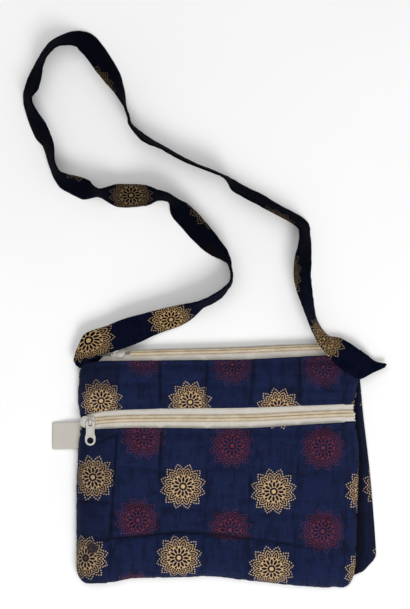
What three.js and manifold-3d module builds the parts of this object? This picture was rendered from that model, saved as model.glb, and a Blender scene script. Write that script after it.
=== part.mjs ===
// A quilted cotton crossbody bag lying on its back, its fabric strap laid in a loop above it.
// Millimetres: +X to the bag's right, +Y towards its top zip, +Z up from the surface it lies on.
// The origin is on the resting face of the back panel, under the middle of the bag.

import * as THREE from 'three';
import { mergeVertices } from 'three/addons/utils/BufferGeometryUtils.js';
import Module from 'manifold-3d';

const wasm = await Module();
wasm.setup();

// Walls and clearances
const GAP = 0.3;
const FRONT_WALL = 2.6;
const BACK_WALL = 2.4;
const TAPE = 1.0;
const STRAP = { width: 25, thick: 2.4, steps: 2 };

// Heights of the front wall's inner face: at the seam and over the hollow
const SEAM_Z = 3.8;
const HOLLOW_Z = 12.6;
const RIM_RISE = SEAM_Z - GAP - BACK_WALL;

// The front wall rolls down to the seam over this width, in this many steps
const ROLL = 10;
const ROLL_STEPS = 4;
const SEAM_INSET = 2.4;

// Quilting: stitched squares, the height that they puff up and where the lines start
const QUILT = { pitchX: 41.2, pitchY: 39.6, startX: -90.9, startY: 0.9, puff: 1.1 };
const BAY_STEPS = 4;
const HEM_FLAT = 9;
const HEM_DIP = 0.8;

// Zip: coil band, slider plates, the arch on the slider and the pull that hangs on it
const COIL = { front: 8, top: 3.6, height: 2 };
const SLIDER = { length: 13.5, width: 10.8, tail: 8.4, plate: 1.2 };
const SLIDER_FLOOR = { length: 4.2, width: 8, short: 0.4, post: 2.2, postWidth: 3.2 };
const ARCH = { width: 2, wall: 1, clearY: 1.6, clearZ: 1.3, under: 2.1 };
const PULL = { neck: 7.6, width: 9.4, length: 21.1, thick: 1.4, bar: 0.75, hole: 2.9, holeAt: 16.6 };
const PULL_EDGE = { chamfer: 0.6, corner: 3.2, flareFrom: 10.5, flareTo: 13 };
const EYE = { width: 3, reach: 3.9 };
const PANEL = { width: 5.6, from: 5, to: 12.5, depth: 0.35 };
const FRONT_SLIDER = { x: -116.5, y: 42.7 };
const FRONT_PULL_X = -113.6;
const TOP_SLIDER = { x: -89, tilt: -28 };

// Label in the left seam: its edges, thickness, heights at seam and tip, and the drop of its far end
const TAG = {
  left: -148.5, right: -121.8, low: 18.2, high: 42.6, thick: 0.8, seam: 3.1, tip: 0.9, skew: 1.2,
};

// Rows of numbers with named columns
function table(columns, rows) {
  return rows.map((row) => Object.fromEntries(columns.map((name, i) => [name, row[i]])));
}

// The bag's outline at its left and right sides, from the bottom corners up to the top zip
const LEFT_SIDE = table(['y', 'x'], [
  [-103.5, -111.6], [-101.7, -118.8], [-97.2, -124.2], [-90.9, -126.4], [-68, -126.9], [-28, -126.9],
  [13, -125.5], [44, -123.3], [62, -125.5], [80, -124.6], [92, -122.8], [98, -118], [106, -110],
]);
const RIGHT_SIDE = table(['y', 'x'], [
  [-107, 112.5], [-104.4, 117.9], [-99.9, 121.5], [-94.5, 123.3], [-82, 125.1], [-28, 126.9],
  [12, 128.2], [40, 125.1], [58, 124.2], [76, 126.9], [90, 127], [100, 122], [112, 111],
]);

// The back shows beyond the front at the right, with a cut-off boxed corner at the bottom
const BACK_RIGHT = table(['y', 'x'], [
  [-106, 113], [-99.5, 120.6], [-96, 123.4], [-93.5, 130.5], [-88, 135.9], [-82, 141.3], [-77.4, 143.1],
  [-68, 142.6], [-37, 140.4], [-5, 137.7], [26, 134.1], [49, 131.4], [67, 129.8], [80, 128.5], [95, 126],
  [109, 113],
]);

// Lines that cross the front: bottom seam, both hems of the front zip, top hem and top zip ridge
const CROSSING = ['bottom', 'zipLow', 'zipHigh', 'hem', 'ridge'];
const FRONT_LINES = table(['x', ...CROSSING], [
  [-124, -103.5, 34.9, 47.5, 95, 102.5],
  [-101, -103, 36.5, 52.2, 97.3, 105],
  [-78, -99, 37.4, 53.7, 97.6, 106.3],
  [-29, -98.1, 37.2, 54.8, 98, 107.7],
  [-8, -97.2, 36.9, 54.9, 98.2, 108.2],
  [25, -100.3, 37.2, 55.3, 98.6, 109.2],
  [70, -105, 39.7, 56.9, 100.8, 111],
  [100, -107.1, 41.5, 58, 102.2, 111.8],
  [124, -107.1, 42.8, 58.8, 102, 112],
]);

// The front falls away from the hollow's height towards the top zip
const TOP_FALL = table(['v', 'fall'], [[0, 0], [2.3, 0], [3, 2], [4, 4.8]]);

// Folds pressed into the front wall, each a groove between two points
const FOLDS = table(['x0', 'y0', 'x1', 'y1', 'depth', 'width'], [
  [-98, -64, -35, -57, 2.2, 7],
  [-35, -57, 71, -69, 1.6, 7],
  [-91, 30, -96, -64, 1.0, 6],
  [-51, 30, -51, 6, 0.9, 6],
  [-114, 36, -114, 22, 1.3, 9],
]);

// The strap from its left end to its right end: centre line, roll in degrees (90 stands on edge, past
// 90 shows the other face) and the height of its lower edge
const STRAP_ROUTE = table(['x', 'y', 'roll', 'rest'], [
  [-118, 95, -20, 6.9],
  [-118, 103, -20, 6.9],
  [-112, 111, -15, 9],
  [-94, 118, -15, 11.6],
  [-61, 130, 30, 3.5],
  [-33, 139, 45, 0.9],
  [-12, 149, 75, 0.8],
  [1, 156, 75, 0.8],
  [12, 168, 85, 0.8],
  [12, 182, 90, 0.8],
  [7, 191, 110, 0.8],
  [-8, 205, 135, 0.8],
  [-24, 223, 140, 0.8],
  [-33, 232, 135, 0.8],
  [-42, 243, 105, 0.8],
  [-53, 246, 110, 0.8],
  [-65, 246, 135, 0.8],
  [-86, 246, 145, 0.8],
  [-106, 248, 105, 0.8],
  [-120, 252, 135, 0.8],
  [-139, 260, 120, 0.8],
  [-147, 271, 105, 0.8],
  [-152, 292, 115, 0.8],
  [-159, 305, 125, 0.8],
  [-170, 330, 110, 0.8],
  [-166, 345, 125, 0.8],
  [-157, 369, 110, 0.8],
  [-145, 383, 115, 0.8],
  [-127, 387, 130, 0.8],
  [-115, 381, 140, 0.8],
  [-98, 358, 135, 0.8],
  [-89, 342, 115, 0.8],
  [-80, 319, 90, 0.8],
  [-77, 309, 95, 0.8],
  [-65, 297, 105, 0.8],
  [-47, 288, 100, 0.8],
  [-25, 276, 100, 0.8],
  [0, 266, 95, 0.8],
  [9, 261, 100, 0.8],
  [20, 252, 115, 0.8],
  [46, 238, 115, 0.8],
  [74, 222, 115, 0.8],
  [79, 210, 115, 0.8],
  [77, 186, 130, 0.8],
  [77, 170, 130, 0.8],
  [81, 151, 120, 0.8],
  [86, 133, 110, 0.8],
  [96, 116, 120, 1.6],
  [109, 107, 150, 5.9],
  [122, 97, 160, 9],
  [133, 90, 160, 3.4],
  [139, 87, 165, 1.4],
]);

const { lerp, clamp, degToRad, smoothstep } = THREE.MathUtils;

// Reads one column of a table between its rows, smoothly and without overshoot
function read(rows, key, column, at) {
  const last = rows.length - 1;
  const slope = (k) => (rows[k + 1][column] - rows[k][column]) / (rows[k + 1][key] - rows[k][key]);
  const tangent = (k) => {
    if (k === 0 || k === last) return slope(Math.min(k, last - 1));
    const product = slope(k - 1) * slope(k);
    return product > 0 ? (2 * product) / (slope(k - 1) + slope(k)) : 0;
  };
  const k = clamp(rows.findIndex((row) => row[key] > at) - 1, 0, last - 1);
  const low = at >= rows[last][key] ? last - 1 : k;
  const span = rows[low + 1][key] - rows[low][key];
  const t = clamp((at - rows[low][key]) / span, 0, 1);
  const ease = t * t * (3 - 2 * t);
  const bend = tangent(low) * (t ** 3 - 2 * t ** 2 + t) + tangent(low + 1) * (t ** 3 - t ** 2);
  return lerp(rows[low][column], rows[low + 1][column], ease) + span * bend;
}

// A closed wall on a skin: its faces lie at two distances along the skin's normal
function wallOn(skin, columns, rows, inner, outer) {
  const points = columns.map((u) => rows.map((v) => skin(u, v)));
  const pick = (c, r) => points[clamp(c, 0, columns.length - 1)][clamp(r, 0, rows.length - 1)];
  const normalAt = (c, r) => {
    const along = pick(c + 1, r).clone().sub(pick(c - 1, r));
    const across = pick(c, r + 1).clone().sub(pick(c, r - 1));
    return along.cross(across).normalize();
  };
  const shift = (c, r, distance) => pick(c, r).clone().addScaledVector(normalAt(c, r), distance);
  return wallBetween((c, r) => shift(c, r, outer), (c, r) => shift(c, r, inner), columns.length, rows.length);
}

// A closed wall between an upper and a lower face that share one grid
function wallBetween(upper, lower, columns, rows) {
  const corners = [];
  const faces = [];
  for (const face of [upper, lower]) {
    for (let c = 0; c < columns; c += 1) {
      for (let r = 0; r < rows; r += 1) corners.push(...face(c, r).toArray());
    }
  }
  const up = (c, r) => c * rows + r;
  const down = (c, r) => columns * rows + up(c, r);
  const quad = (a, b, c, d) => faces.push(a, b, c, a, c, d);
  for (let c = 0; c + 1 < columns; c += 1) {
    for (let r = 0; r + 1 < rows; r += 1) {
      quad(up(c, r), up(c + 1, r), up(c + 1, r + 1), up(c, r + 1));
      quad(down(c, r), down(c, r + 1), down(c + 1, r + 1), down(c + 1, r));
    }
    quad(down(c, 0), down(c + 1, 0), up(c + 1, 0), up(c, 0));
    quad(up(c, rows - 1), up(c + 1, rows - 1), down(c + 1, rows - 1), down(c, rows - 1));
  }
  for (let r = 0; r + 1 < rows; r += 1) {
    quad(down(0, r + 1), down(0, r), up(0, r), up(0, r + 1));
    quad(down(columns - 1, r), down(columns - 1, r + 1), up(columns - 1, r + 1), up(columns - 1, r));
  }
  const geometry = new THREE.BufferGeometry();
  geometry.setAttribute('position', new THREE.Float32BufferAttribute(corners, 3));
  geometry.setIndex(faces);
  return geometry;
}

// Joining and cutting of closed shapes
function solid(geometry) {
  const bare = geometry.clone();
  bare.deleteAttribute('normal');
  bare.deleteAttribute('uv');
  const merged = mergeVertices(bare);
  return new wasm.Manifold(new wasm.Mesh({
    numProp: 3,
    vertProperties: merged.attributes.position.array,
    triVerts: Uint32Array.from(merged.index.array),
  }));
}

function shell(manifold) {
  const mesh = manifold.getMesh();
  const geometry = new THREE.BufferGeometry();
  geometry.setAttribute('position', new THREE.BufferAttribute(mesh.vertProperties, 3));
  geometry.setIndex(new THREE.BufferAttribute(mesh.triVerts, 1));
  return geometry;
}

function block(x0, x1, y0, y1, z0, z1) {
  const box = new THREE.BoxGeometry(x1 - x0, y1 - y0, z1 - z0);
  return box.translate((x0 + x1) / 2, (y0 + y1) / 2, (z0 + z1) / 2);
}

// Steps along a quarter circle, from the seam inwards
const ROLL_IN = Array.from({ length: ROLL_STEPS + 1 }, (_, k) => {
  const turn = (Math.PI / 2) * (k / ROLL_STEPS);
  return ROLL * (1 - Math.cos(turn));
});

function rolled(distance) {
  const left = 1 - clamp(distance / ROLL, 0, 1);
  return Math.sqrt(1 - left * left);
}

// Columns across the front: both rolled sides, and steps that fall on the quilting lines
const SPAN = { left: -122, right: 123 };
const WIDTH = SPAN.right - SPAN.left;

function frontColumns() {
  const step = QUILT.pitchX / BAY_STEPS;
  const end = SPAN.right - ROLL - step / 2;
  const inside = [];
  for (let x = QUILT.startX - step; x < end; x += step) inside.push((x - SPAN.left) / WIDTH);
  const left = ROLL_IN.map((distance) => distance / WIDTH);
  const right = ROLL_IN.map((distance) => 1 - distance / WIDTH).reverse();
  return [...left, ...inside, ...right];
}

function lineY(u, v) {
  const x = lerp(SPAN.left, SPAN.right, u);
  const k = clamp(Math.floor(v), 0, CROSSING.length - 2);
  const low = read(FRONT_LINES, 'x', CROSSING[k], x) + (k === 0 ? SEAM_INSET : 0);
  return lerp(low, read(FRONT_LINES, 'x', CROSSING[k + 1], x), v - k);
}

const leftSeam = (v) => read(LEFT_SIDE, 'y', 'x', lineY(0, v)) + SEAM_INSET;
const rightSeam = (v) => read(RIGHT_SIDE, 'y', 'x', lineY(1, v)) - SEAM_INSET;

function puffAt(x, y) {
  const wave = (at, start, pitch) => Math.abs(Math.sin((Math.PI * (at - start)) / pitch));
  return QUILT.puff * Math.sqrt(wave(x, QUILT.startX, QUILT.pitchX) * wave(y, QUILT.startY, QUILT.pitchY));
}

function foldAt(x, y) {
  const point = new THREE.Vector3(x, y, 0);
  const nearest = new THREE.Vector3();
  return FOLDS.reduce((deepest, fold) => {
    const start = new THREE.Vector3(fold.x0, fold.y0, 0);
    const end = new THREE.Vector3(fold.x1, fold.y1, 0);
    const line = new THREE.Line3(start, end);
    const away = line.closestPointToPoint(point, true, nearest).distanceTo(point) / fold.width;
    return Math.max(deepest, fold.depth * Math.exp(-away * away));
  }, 0);
}

// The inner face of the whole front: u runs from the left seam to the right one, and v counts the
// crossing lines, from 0 at the bottom seam to 4 at the ridge of the top zip
function frontSkin(u, v) {
  const y = lineY(u, v);
  const x = lerp(leftSeam(v), rightSeam(v), u);
  const fromSide = Math.min(u, 1 - u) * WIDTH;
  const side = rolled(fromSide);
  const foot = rolled(y - lineY(u, 0));
  const fromHem = Math.min(...[1, 2, 3].map((k) => Math.abs(y - lineY(u, k))));
  const onZip = (v > 1 && v < 2) || v > 3;
  const hem = onZip ? 0 : smoothstep(fromHem, 0, HEM_FLAT);
  const relief = hem * (puffAt(x, y) - foldAt(x, y)) - HEM_DIP * (1 - hem);
  const top = HOLLOW_Z - read(TOP_FALL, 'v', 'fall', v) + relief * side * foot;
  return new THREE.Vector3(x, y, SEAM_Z + (top - SEAM_Z) * side * foot);
}

const COLUMNS = frontColumns();

// How far the zip tapes reach under the hems, as parts of the way between two crossing lines
const TUCK = { pocket: 0.035, yoke: 0.11, top: 0.11 };

// Rows of the pocket: the rolled bottom, then steps up to the hem
function pocketRows() {
  const height = lineY(0.5, 1) - lineY(0.5, 0);
  const steps = 13;
  const start = ROLL / height;
  const rest = Array.from({ length: steps }, (_, k) => lerp(start, 1 - TUCK.pocket, (k + 1) / steps));
  return [...ROLL_IN.map((distance) => distance / height), ...rest, 1];
}

function pocketPanel() {
  return wallOn(frontSkin, COLUMNS, pocketRows(), 0, FRONT_WALL);
}

function frontYoke() {
  const steps = 5;
  const inside = Array.from({ length: steps }, (_, k) => lerp(2 + TUCK.yoke, 3 - TUCK.top, k / (steps - 1)));
  return wallOn(frontSkin, COLUMNS, [2, ...inside, 3], 0, FRONT_WALL);
}

// Zip tapes lie under the hems, with the coil between them
const ZIP_MIDDLE = 1.5;

function coilHalf(width, line) {
  const gapHeight = lineY(0.5, line + 1) - lineY(0.5, line);
  return (width / 2 + GAP) / gapHeight;
}

function frontTape(rows) {
  return wallOn(frontSkin, COLUMNS.slice(2, -1), rows, -GAP - TAPE, -GAP);
}

function frontTapeLower() {
  const edge = ZIP_MIDDLE - coilHalf(COIL.front, 1);
  return frontTape([1 - TUCK.pocket, 1, edge]);
}

function frontTapeUpper() {
  const edge = ZIP_MIDDLE + coilHalf(COIL.front, 1);
  return frontTape([edge, 2, 2 + TUCK.yoke]);
}

function frontCoil() {
  const half = coilHalf(COIL.front - 2 * GAP, 1);
  const rows = [ZIP_MIDDLE - half, ZIP_MIDDLE, ZIP_MIDDLE + half];
  const columns = COLUMNS.slice(ROLL_STEPS, -2);
  return wallOn(frontSkin, columns, rows, -GAP - TAPE, COIL.height - GAP - TAPE);
}

// The top zip arches over the bag's mouth, from the yoke's hem to the back panel
const TOP_COLUMNS = COLUMNS.slice(3, -3);
const TOP_COIL_START = 3;

function topTapeFront() {
  const edge = 4 - coilHalf(COIL.top + 2 * GAP, 3);
  return wallOn(frontSkin, TOP_COLUMNS, [3 - TUCK.top, 3, (3 + edge) / 2, edge], -GAP - TAPE, -GAP);
}

function topCoil() {
  const half = coilHalf(COIL.top - 2 * GAP, 3);
  const columns = TOP_COLUMNS.slice(TOP_COIL_START);
  return wallOn(frontSkin, columns, [4 - half, 4, 4 + half], -GAP - TAPE, COIL.height - GAP - TAPE);
}

// Down the outside of the ridge and in over the back panel's top edge
const BACK_TAPE = table(['row', 'out', 'z'], [
  [0, -9, 3.2], [1, -3.2, 3.2], [2, 0.4, 3.5], [3, 1.9, 4.1], [4, 2.7, 5],
]);

function topTapeBack() {
  const skin = (u, v) => {
    const ridge = frontSkin(u, 4);
    const out = read(BACK_TAPE, 'row', 'out', v);
    return new THREE.Vector3(ridge.x, ridge.y + out, read(BACK_TAPE, 'row', 'z', v));
  };
  return wallOn(skin, TOP_COLUMNS, BACK_TAPE.map((row) => row.row), -TAPE / 2, TAPE / 2);
}

// Back panel: flat where it rests, its rim lifted to the seam, with a doubled fold beyond the front
const BACK = { inset: 1, split: 0.8, lip: 6, fold: 1.7, top: -3.5, edge: 0.5, edgeDrop: 1.2, edgeLift: 0.6 };

// Columns from 0 at the left seam to 1 at the front's right seam and 2 at the fold's edge; rows from
// the bottom seam to the top edge, closer together round the boxed corner
const BACK_COLUMNS = [0, 0.012, 0.035, 0.07, 0.2, 0.35, 0.5, 0.65, 0.8, 0.93, 0.975, 1, 1.25, 1.55, 1.82, 2];
const CORNER_ROWS = [0, 0.03, 0.05, 0.06, 0.088, 0.115, 0.14];
const BACK_ROWS = [...CORNER_ROWS, 0.18, 0.26, 0.35, 0.44, 0.53, 0.62, 0.71, 0.8, 0.9, 1];

function backOutline(u, v) {
  const x = lerp(SPAN.left, SPAN.right, Math.min(u, 1));
  const low = read(FRONT_LINES, 'x', 'bottom', x) + BACK.inset;
  return lerp(low, read(FRONT_LINES, 'x', 'ridge', x) + BACK.top, v);
}

function backFrame(u, v) {
  const y = backOutline(u, v);
  const end = backOutline(1, v);
  const left = read(LEFT_SIDE, 'y', 'x', backOutline(0, v)) + BACK.inset;
  const right = read(BACK_RIGHT, 'y', 'x', end);
  const split = Math.min(read(RIGHT_SIDE, 'y', 'x', end) + BACK.split, right - BACK.edge);
  const x = u <= 1 ? lerp(left, split, u) : lerp(split, right, u - 1);
  const fromEdge = Math.min(x - left, y - backOutline(u, 0));
  return { x, y, fromEdge, fromSplit: split - x, slice: right - split };
}

function tagWindow(x, y) {
  const aside = Math.abs(y - (TAG.low + TAG.high) / 2) - (TAG.high - TAG.low) / 2;
  return x < 0 ? 1 - smoothstep(aside, 2, 10) : 0;
}

function backFace(u, v, upper) {
  const { x, y, fromEdge, fromSplit, slice } = backFrame(u, v);
  const rim = (1 - smoothstep(fromEdge, 2, BACK.lip * 2)) * (1 - tagWindow(x, y));
  const shoulder = 1 - smoothstep(fromSplit, 2, BACK.lip);
  const bulge = Math.min(BACK.fold, slice / 5) * Math.sin(Math.PI * clamp(u - 1, 0, 1) ** 0.7);
  const last = smoothstep(u, 1.8, 2) * Math.min(1, slice / 8);
  if (!upper) return new THREE.Vector3(x, y, RIM_RISE * Math.max(rim, last * BACK.edgeLift));
  const crown = BACK_WALL + RIM_RISE * Math.max(rim, shoulder) + bulge;
  return new THREE.Vector3(x, y, crown - last * BACK.edgeDrop);
}

function backPanel() {
  const face = (upper) => (c, r) => backFace(BACK_COLUMNS[c], BACK_ROWS[r], upper);
  return wallBetween(face(true), face(false), BACK_COLUMNS.length, BACK_ROWS.length);
}

// A blank folded label held in the left seam, drooping to the surface
function sideTag() {
  const skin = (u, v) => new THREE.Vector3(
    lerp(TAG.left, TAG.right, u),
    lerp(TAG.low, TAG.high, v) - TAG.skew * (1 - u),
    lerp(TAG.tip, TAG.seam, smoothstep(u, 0, 0.85)),
  );
  const columns = [0, 0.03, 0.2, 0.4, 0.6, 0.8, 0.9, 1];
  return wallOn(skin, columns, [0, 0.5, 1], -TAG.thick / 2, TAG.thick / 2);
}

// The strap: a flat band that rolls about its centre line
function strap() {
  const half = STRAP.width / 2;
  const lift = (row) => {
    const roll = degToRad(row.roll);
    return row.rest + half * Math.abs(Math.sin(roll)) + (STRAP.thick / 2) * Math.abs(Math.cos(roll));
  };
  const spots = STRAP_ROUTE.map((row) => new THREE.Vector3(row.x, row.y, lift(row)));
  const route = new THREE.CatmullRomCurve3(spots, false, 'catmullrom', 0.5);
  const last = STRAP_ROUTE.length - 1;
  const rolls = STRAP_ROUTE.map((row, at) => ({ at, roll: row.roll }));
  const skin = (at, across) => {
    const centre = route.getPoint(at / last);
    const heading = route.getTangent(at / last);
    const roll = degToRad(read(rolls, 'at', 'roll', at));
    const side = new THREE.Vector3(-heading.y, heading.x, 0).normalize().multiplyScalar(Math.cos(roll));
    return centre.add(side.setZ(Math.sin(roll)).multiplyScalar(across * half));
  };
  const stations = Array.from({ length: last * STRAP.steps + 1 }, (_, k) => k / STRAP.steps);
  return wallOn(skin, stations, [-1, 0, 1], -STRAP.thick / 2, STRAP.thick / 2);
}

// Slider in its own frame: X along the zip, z = 0 on the tapes' upper face, the pull's axis at y = 0
const UNDER_TAPE = -TAPE - 2 * GAP;
const PLATE_UNDER = COIL.height - TAPE + GAP;
const PLATE_TOP = PLATE_UNDER + SLIDER.plate;
const HINGE_Z = PLATE_TOP + ARCH.under;

function plateShape(length, nose, tail) {
  const half = length / 2;
  const shape = new THREE.Shape();
  shape.moveTo(half, -tail);
  shape.lineTo(half, tail);
  shape.quadraticCurveTo(0, tail, -half * 0.2, nose);
  shape.absarc(-half + nose, 0, nose, Math.PI / 2, (3 * Math.PI) / 2, false);
  shape.lineTo(-half * 0.2, -nose);
  shape.quadraticCurveTo(0, -tail, half, -tail);
  return shape;
}

function sliderArch(x) {
  const reach = ARCH.clearY + ARCH.wall;
  const clear = HINGE_Z + ARCH.clearZ;
  const half = ARCH.width / 2;
  const outside = block(x - half, x + half, -reach, reach, PLATE_UNDER, clear + ARCH.wall);
  const inside = block(x - ARCH.width, x + ARCH.width, -ARCH.clearY, ARCH.clearY, 0, clear);
  return solid(outside).subtract(solid(inside));
}

function sliderBody(withFloor) {
  const half = SLIDER.length / 2;
  const outline = plateShape(SLIDER.length, SLIDER.width / 2, SLIDER.tail / 2);
  const extrusion = { depth: SLIDER.plate, bevelEnabled: false, curveSegments: 7 };
  const plate = new THREE.ExtrudeGeometry(outline, extrusion).translate(0, 0, PLATE_UNDER);
  const top = solid(plate).add(sliderArch(FRONT_PULL_X - FRONT_SLIDER.x));
  if (!withFloor) return shell(top);
  const end = half - SLIDER_FLOOR.short;
  const start = end - SLIDER_FLOOR.length;
  const low = UNDER_TAPE - SLIDER.plate;
  const aside = SLIDER_FLOOR.width / 2;
  const postAside = SLIDER_FLOOR.postWidth / 2;
  const floor = block(start, end, -aside, aside, low, UNDER_TAPE);
  const postEnd = start + SLIDER_FLOOR.post;
  const postTop = PLATE_TOP - SLIDER.plate / 2;
  const post = block(start, postEnd, -postAside, postAside, low, postTop);
  return shell(top.add(solid(floor)).add(solid(post)));
}

// Pull in its own frame: it hangs on its end bar, along X through the origin, and lies towards -Y
function pullTab() {
  const neck = PULL.neck / 2;
  const wide = PULL.width / 2;
  const { chamfer, corner, flareFrom, flareTo } = PULL_EDGE;
  const shape = new THREE.Shape();
  shape.moveTo(neck - chamfer, PULL.bar);
  shape.lineTo(-neck + chamfer, PULL.bar);
  shape.lineTo(-neck, PULL.bar - chamfer);
  shape.lineTo(-neck, -flareFrom);
  shape.lineTo(-wide, -flareTo);
  shape.absarc(-wide + corner, -PULL.length + corner, corner, Math.PI, 1.5 * Math.PI, false);
  shape.absarc(wide - corner, -PULL.length + corner, corner, 1.5 * Math.PI, 2 * Math.PI, false);
  shape.lineTo(wide, -flareTo);
  shape.lineTo(neck, -flareFrom);
  shape.lineTo(neck, PULL.bar - chamfer);
  shape.closePath();
  const eye = new THREE.Path();
  eye.moveTo(-EYE.width / 2, -PULL.bar);
  eye.lineTo(EYE.width / 2, -PULL.bar);
  eye.lineTo(EYE.width / 2, -EYE.reach);
  eye.lineTo(-EYE.width / 2, -EYE.reach);
  eye.closePath();
  const hole = new THREE.Path();
  hole.absarc(0, -PULL.holeAt, PULL.hole, 0, 2 * Math.PI, true);
  shape.holes.push(eye, hole);
  const extrusion = { depth: PULL.thick, bevelEnabled: false, curveSegments: 5 };
  const plate = new THREE.ExtrudeGeometry(shape, extrusion).translate(0, 0, -PULL.thick / 2);
  const floor = PULL.thick / 2 - PANEL.depth;
  const panel = block(-PANEL.width / 2, PANEL.width / 2, -PANEL.to, -PANEL.from, floor, PULL.thick);
  return shell(solid(plate).subtract(solid(panel)));
}

// Colours of the cotton, the tapes and the zip's hard pieces
const FINISH = {
  navy: { color: 0x1b264e, roughness: 0.9, metalness: 0 },
  dark: { color: 0x0d1127, roughness: 0.9, metalness: 0 },
  tape: { color: 0xdedcd6, roughness: 0.85, metalness: 0 },
  coil: { color: 0xc8a064, roughness: 0.6, metalness: 0 },
  enamel: { color: 0xe9e6de, roughness: 0.4, metalness: 0.1 },
  label: { color: 0xd7d4cd, roughness: 0.85, metalness: 0 },
};

function piece(name, geometry, finish) {
  const mesh = new THREE.Mesh(geometry, new THREE.MeshStandardMaterial(finish));
  mesh.name = name;
  return mesh;
}

const bag = new THREE.Group();
bag.add(
  piece('back_panel', backPanel(), FINISH.navy),
  piece('pocket_panel', pocketPanel(), FINISH.navy),
  piece('front_yoke', frontYoke(), FINISH.navy),
  piece('front_tape_lower', frontTapeLower(), FINISH.tape),
  piece('front_tape_upper', frontTapeUpper(), FINISH.tape),
  piece('front_coil', frontCoil(), FINISH.coil),
  piece('top_tape_front', topTapeFront(), FINISH.tape),
  piece('top_tape_back', topTapeBack(), FINISH.tape),
  piece('top_coil', topCoil(), FINISH.coil),
  piece('strap', strap(), FINISH.dark),
  piece('side_tag', sideTag(), FINISH.label),
);

// Front zip's slider at the left end of the zip, its pull lying on the pocket
const frontSlider = new THREE.Group();
frontSlider.position.set(FRONT_SLIDER.x, FRONT_SLIDER.y, HOLLOW_Z - HEM_DIP - GAP);
const frontPull = piece('front_pull', pullTab(), FINISH.enamel);
frontPull.position.set(FRONT_PULL_X - FRONT_SLIDER.x, 0, HINGE_Z);
frontSlider.add(piece('front_slider', sliderBody(true), FINISH.enamel), frontPull);

// Top zip's slider, tilted over the ridge, its pull hanging to the surface behind the bag
const topSlider = new THREE.Group();
const ridge = frontSkin((TOP_SLIDER.x - leftSeam(4)) / (rightSeam(4) - leftSeam(4)), 4);
topSlider.position.copy(ridge);
topSlider.rotation.set(degToRad(TOP_SLIDER.tilt), 0, Math.PI, 'XYZ');
const topPull = piece('top_pull', pullTab(), FINISH.enamel);
topPull.position.set(FRONT_PULL_X - FRONT_SLIDER.x, 0, HINGE_Z);
topSlider.add(piece('top_slider', sliderBody(false), FINISH.enamel), topPull);
bag.add(frontSlider, topSlider);

export default bag;
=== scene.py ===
"""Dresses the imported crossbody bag: printed quilted cotton, zips, strap and label.

Tables and sizes are millimetres and meshes are metres, in the bag's own frame: +X to its right, +Y to
its top zip, +Z up from the surface that it lies on.
"""

from __future__ import annotations

import logging
import math
from dataclasses import dataclass
from enum import Enum
from functools import cache
from typing import Iterable, Sequence

import bmesh
import bpy
import numpy as np
from mathutils import Matrix, Vector, noise


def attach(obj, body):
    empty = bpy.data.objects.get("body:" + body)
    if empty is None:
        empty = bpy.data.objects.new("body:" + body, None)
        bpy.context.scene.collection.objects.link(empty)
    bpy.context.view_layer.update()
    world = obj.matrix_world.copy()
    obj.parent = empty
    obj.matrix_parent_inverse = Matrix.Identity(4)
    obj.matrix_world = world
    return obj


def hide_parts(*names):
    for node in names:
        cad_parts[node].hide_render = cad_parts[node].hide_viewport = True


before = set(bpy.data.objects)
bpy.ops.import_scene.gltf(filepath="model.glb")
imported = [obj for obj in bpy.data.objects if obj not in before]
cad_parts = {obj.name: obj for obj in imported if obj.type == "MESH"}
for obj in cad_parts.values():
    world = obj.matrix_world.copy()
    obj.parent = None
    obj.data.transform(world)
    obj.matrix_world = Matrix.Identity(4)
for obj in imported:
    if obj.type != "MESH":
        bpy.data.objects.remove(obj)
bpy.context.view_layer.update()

log = logging.getLogger("crossbody bag")
MM = 0.001
TINY = 1e-9
Socket = bpy.types.NodeSocket
Piece, Mesh, Material = bpy.types.Object, bpy.types.Mesh, bpy.types.Material
Array = np.ndarray
Numbers = Array | float
Pair = tuple[float, float]
Rgb = tuple[int, int, int]
Spots = Sequence[Pair]


class Ink(Enum):
    """The two inks that the cotton is printed with, as the number that its material reads."""

    GOLD = 0.0
    MAROON = 1.0


class Slot(Enum):
    """The bag's finishes, as its record names them."""

    QUILT = "quilted_cotton"
    STRAP = "strap_cotton"
    TAPE = "zip_tape"
    COIL = "zip_coil"
    ENAMEL = "zip_enamel"
    LABEL = "label"


@dataclass(frozen=True)
class Rows:
    """Rows of numbers with named columns.

    Attributes:
        columns: The columns' names.
        rows: The numbers, one tuple a row.
    """

    columns: tuple[str, ...]
    rows: tuple[tuple[float, ...], ...]

    def column(self, name: str) -> Array:
        """One whole column."""
        at = self.columns.index(name)
        return np.array([row[at] for row in self.rows], float)

    def read(self, key: str, name: str, at: Numbers) -> Array:
        """Reads a column between its rows, smoothly and without overshoot.

        Args:
            key: The rising column that is looked up.
            name: The column that is read.
            at: Where along the key.

        Returns:
            One value for each place.
        """
        xs, ys, at = self.column(key), self.column(name), np.asarray(at, float)
        slopes = np.diff(ys) / np.diff(xs)
        product, total = slopes[:-1] * slopes[1:], slopes[:-1] + slopes[1:]
        middle = np.where(product > 0, 2 * product / np.where(total == 0, 1, total), 0)
        tangents = np.concatenate(([slopes[0]], middle, [slopes[-1]]))
        low = np.clip(np.searchsorted(xs, at, side="right") - 1, 0, len(xs) - 2)
        span = xs[low + 1] - xs[low]
        t = np.clip((at - xs[low]) / span, 0, 1)
        ease = t * t * (3 - 2 * t)
        bend = tangents[low] * (t**3 - 2 * t**2 + t) + tangents[low + 1] * (t**3 - t**2)
        return ys[low] + (ys[low + 1] - ys[low]) * ease + span * bend


def printed(gold: Spots, maroon: Spots, columns: tuple[str, str] = ("x", "y")) -> Rows:
    """The motifs of one cloth, from the places of its gold and its maroon ones."""
    inks = ((gold, Ink.GOLD), (maroon, Ink.MAROON))
    return Rows((*columns, "ink"), tuple((*spot, ink.value) for spots, ink in inks for spot in spots))


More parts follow.
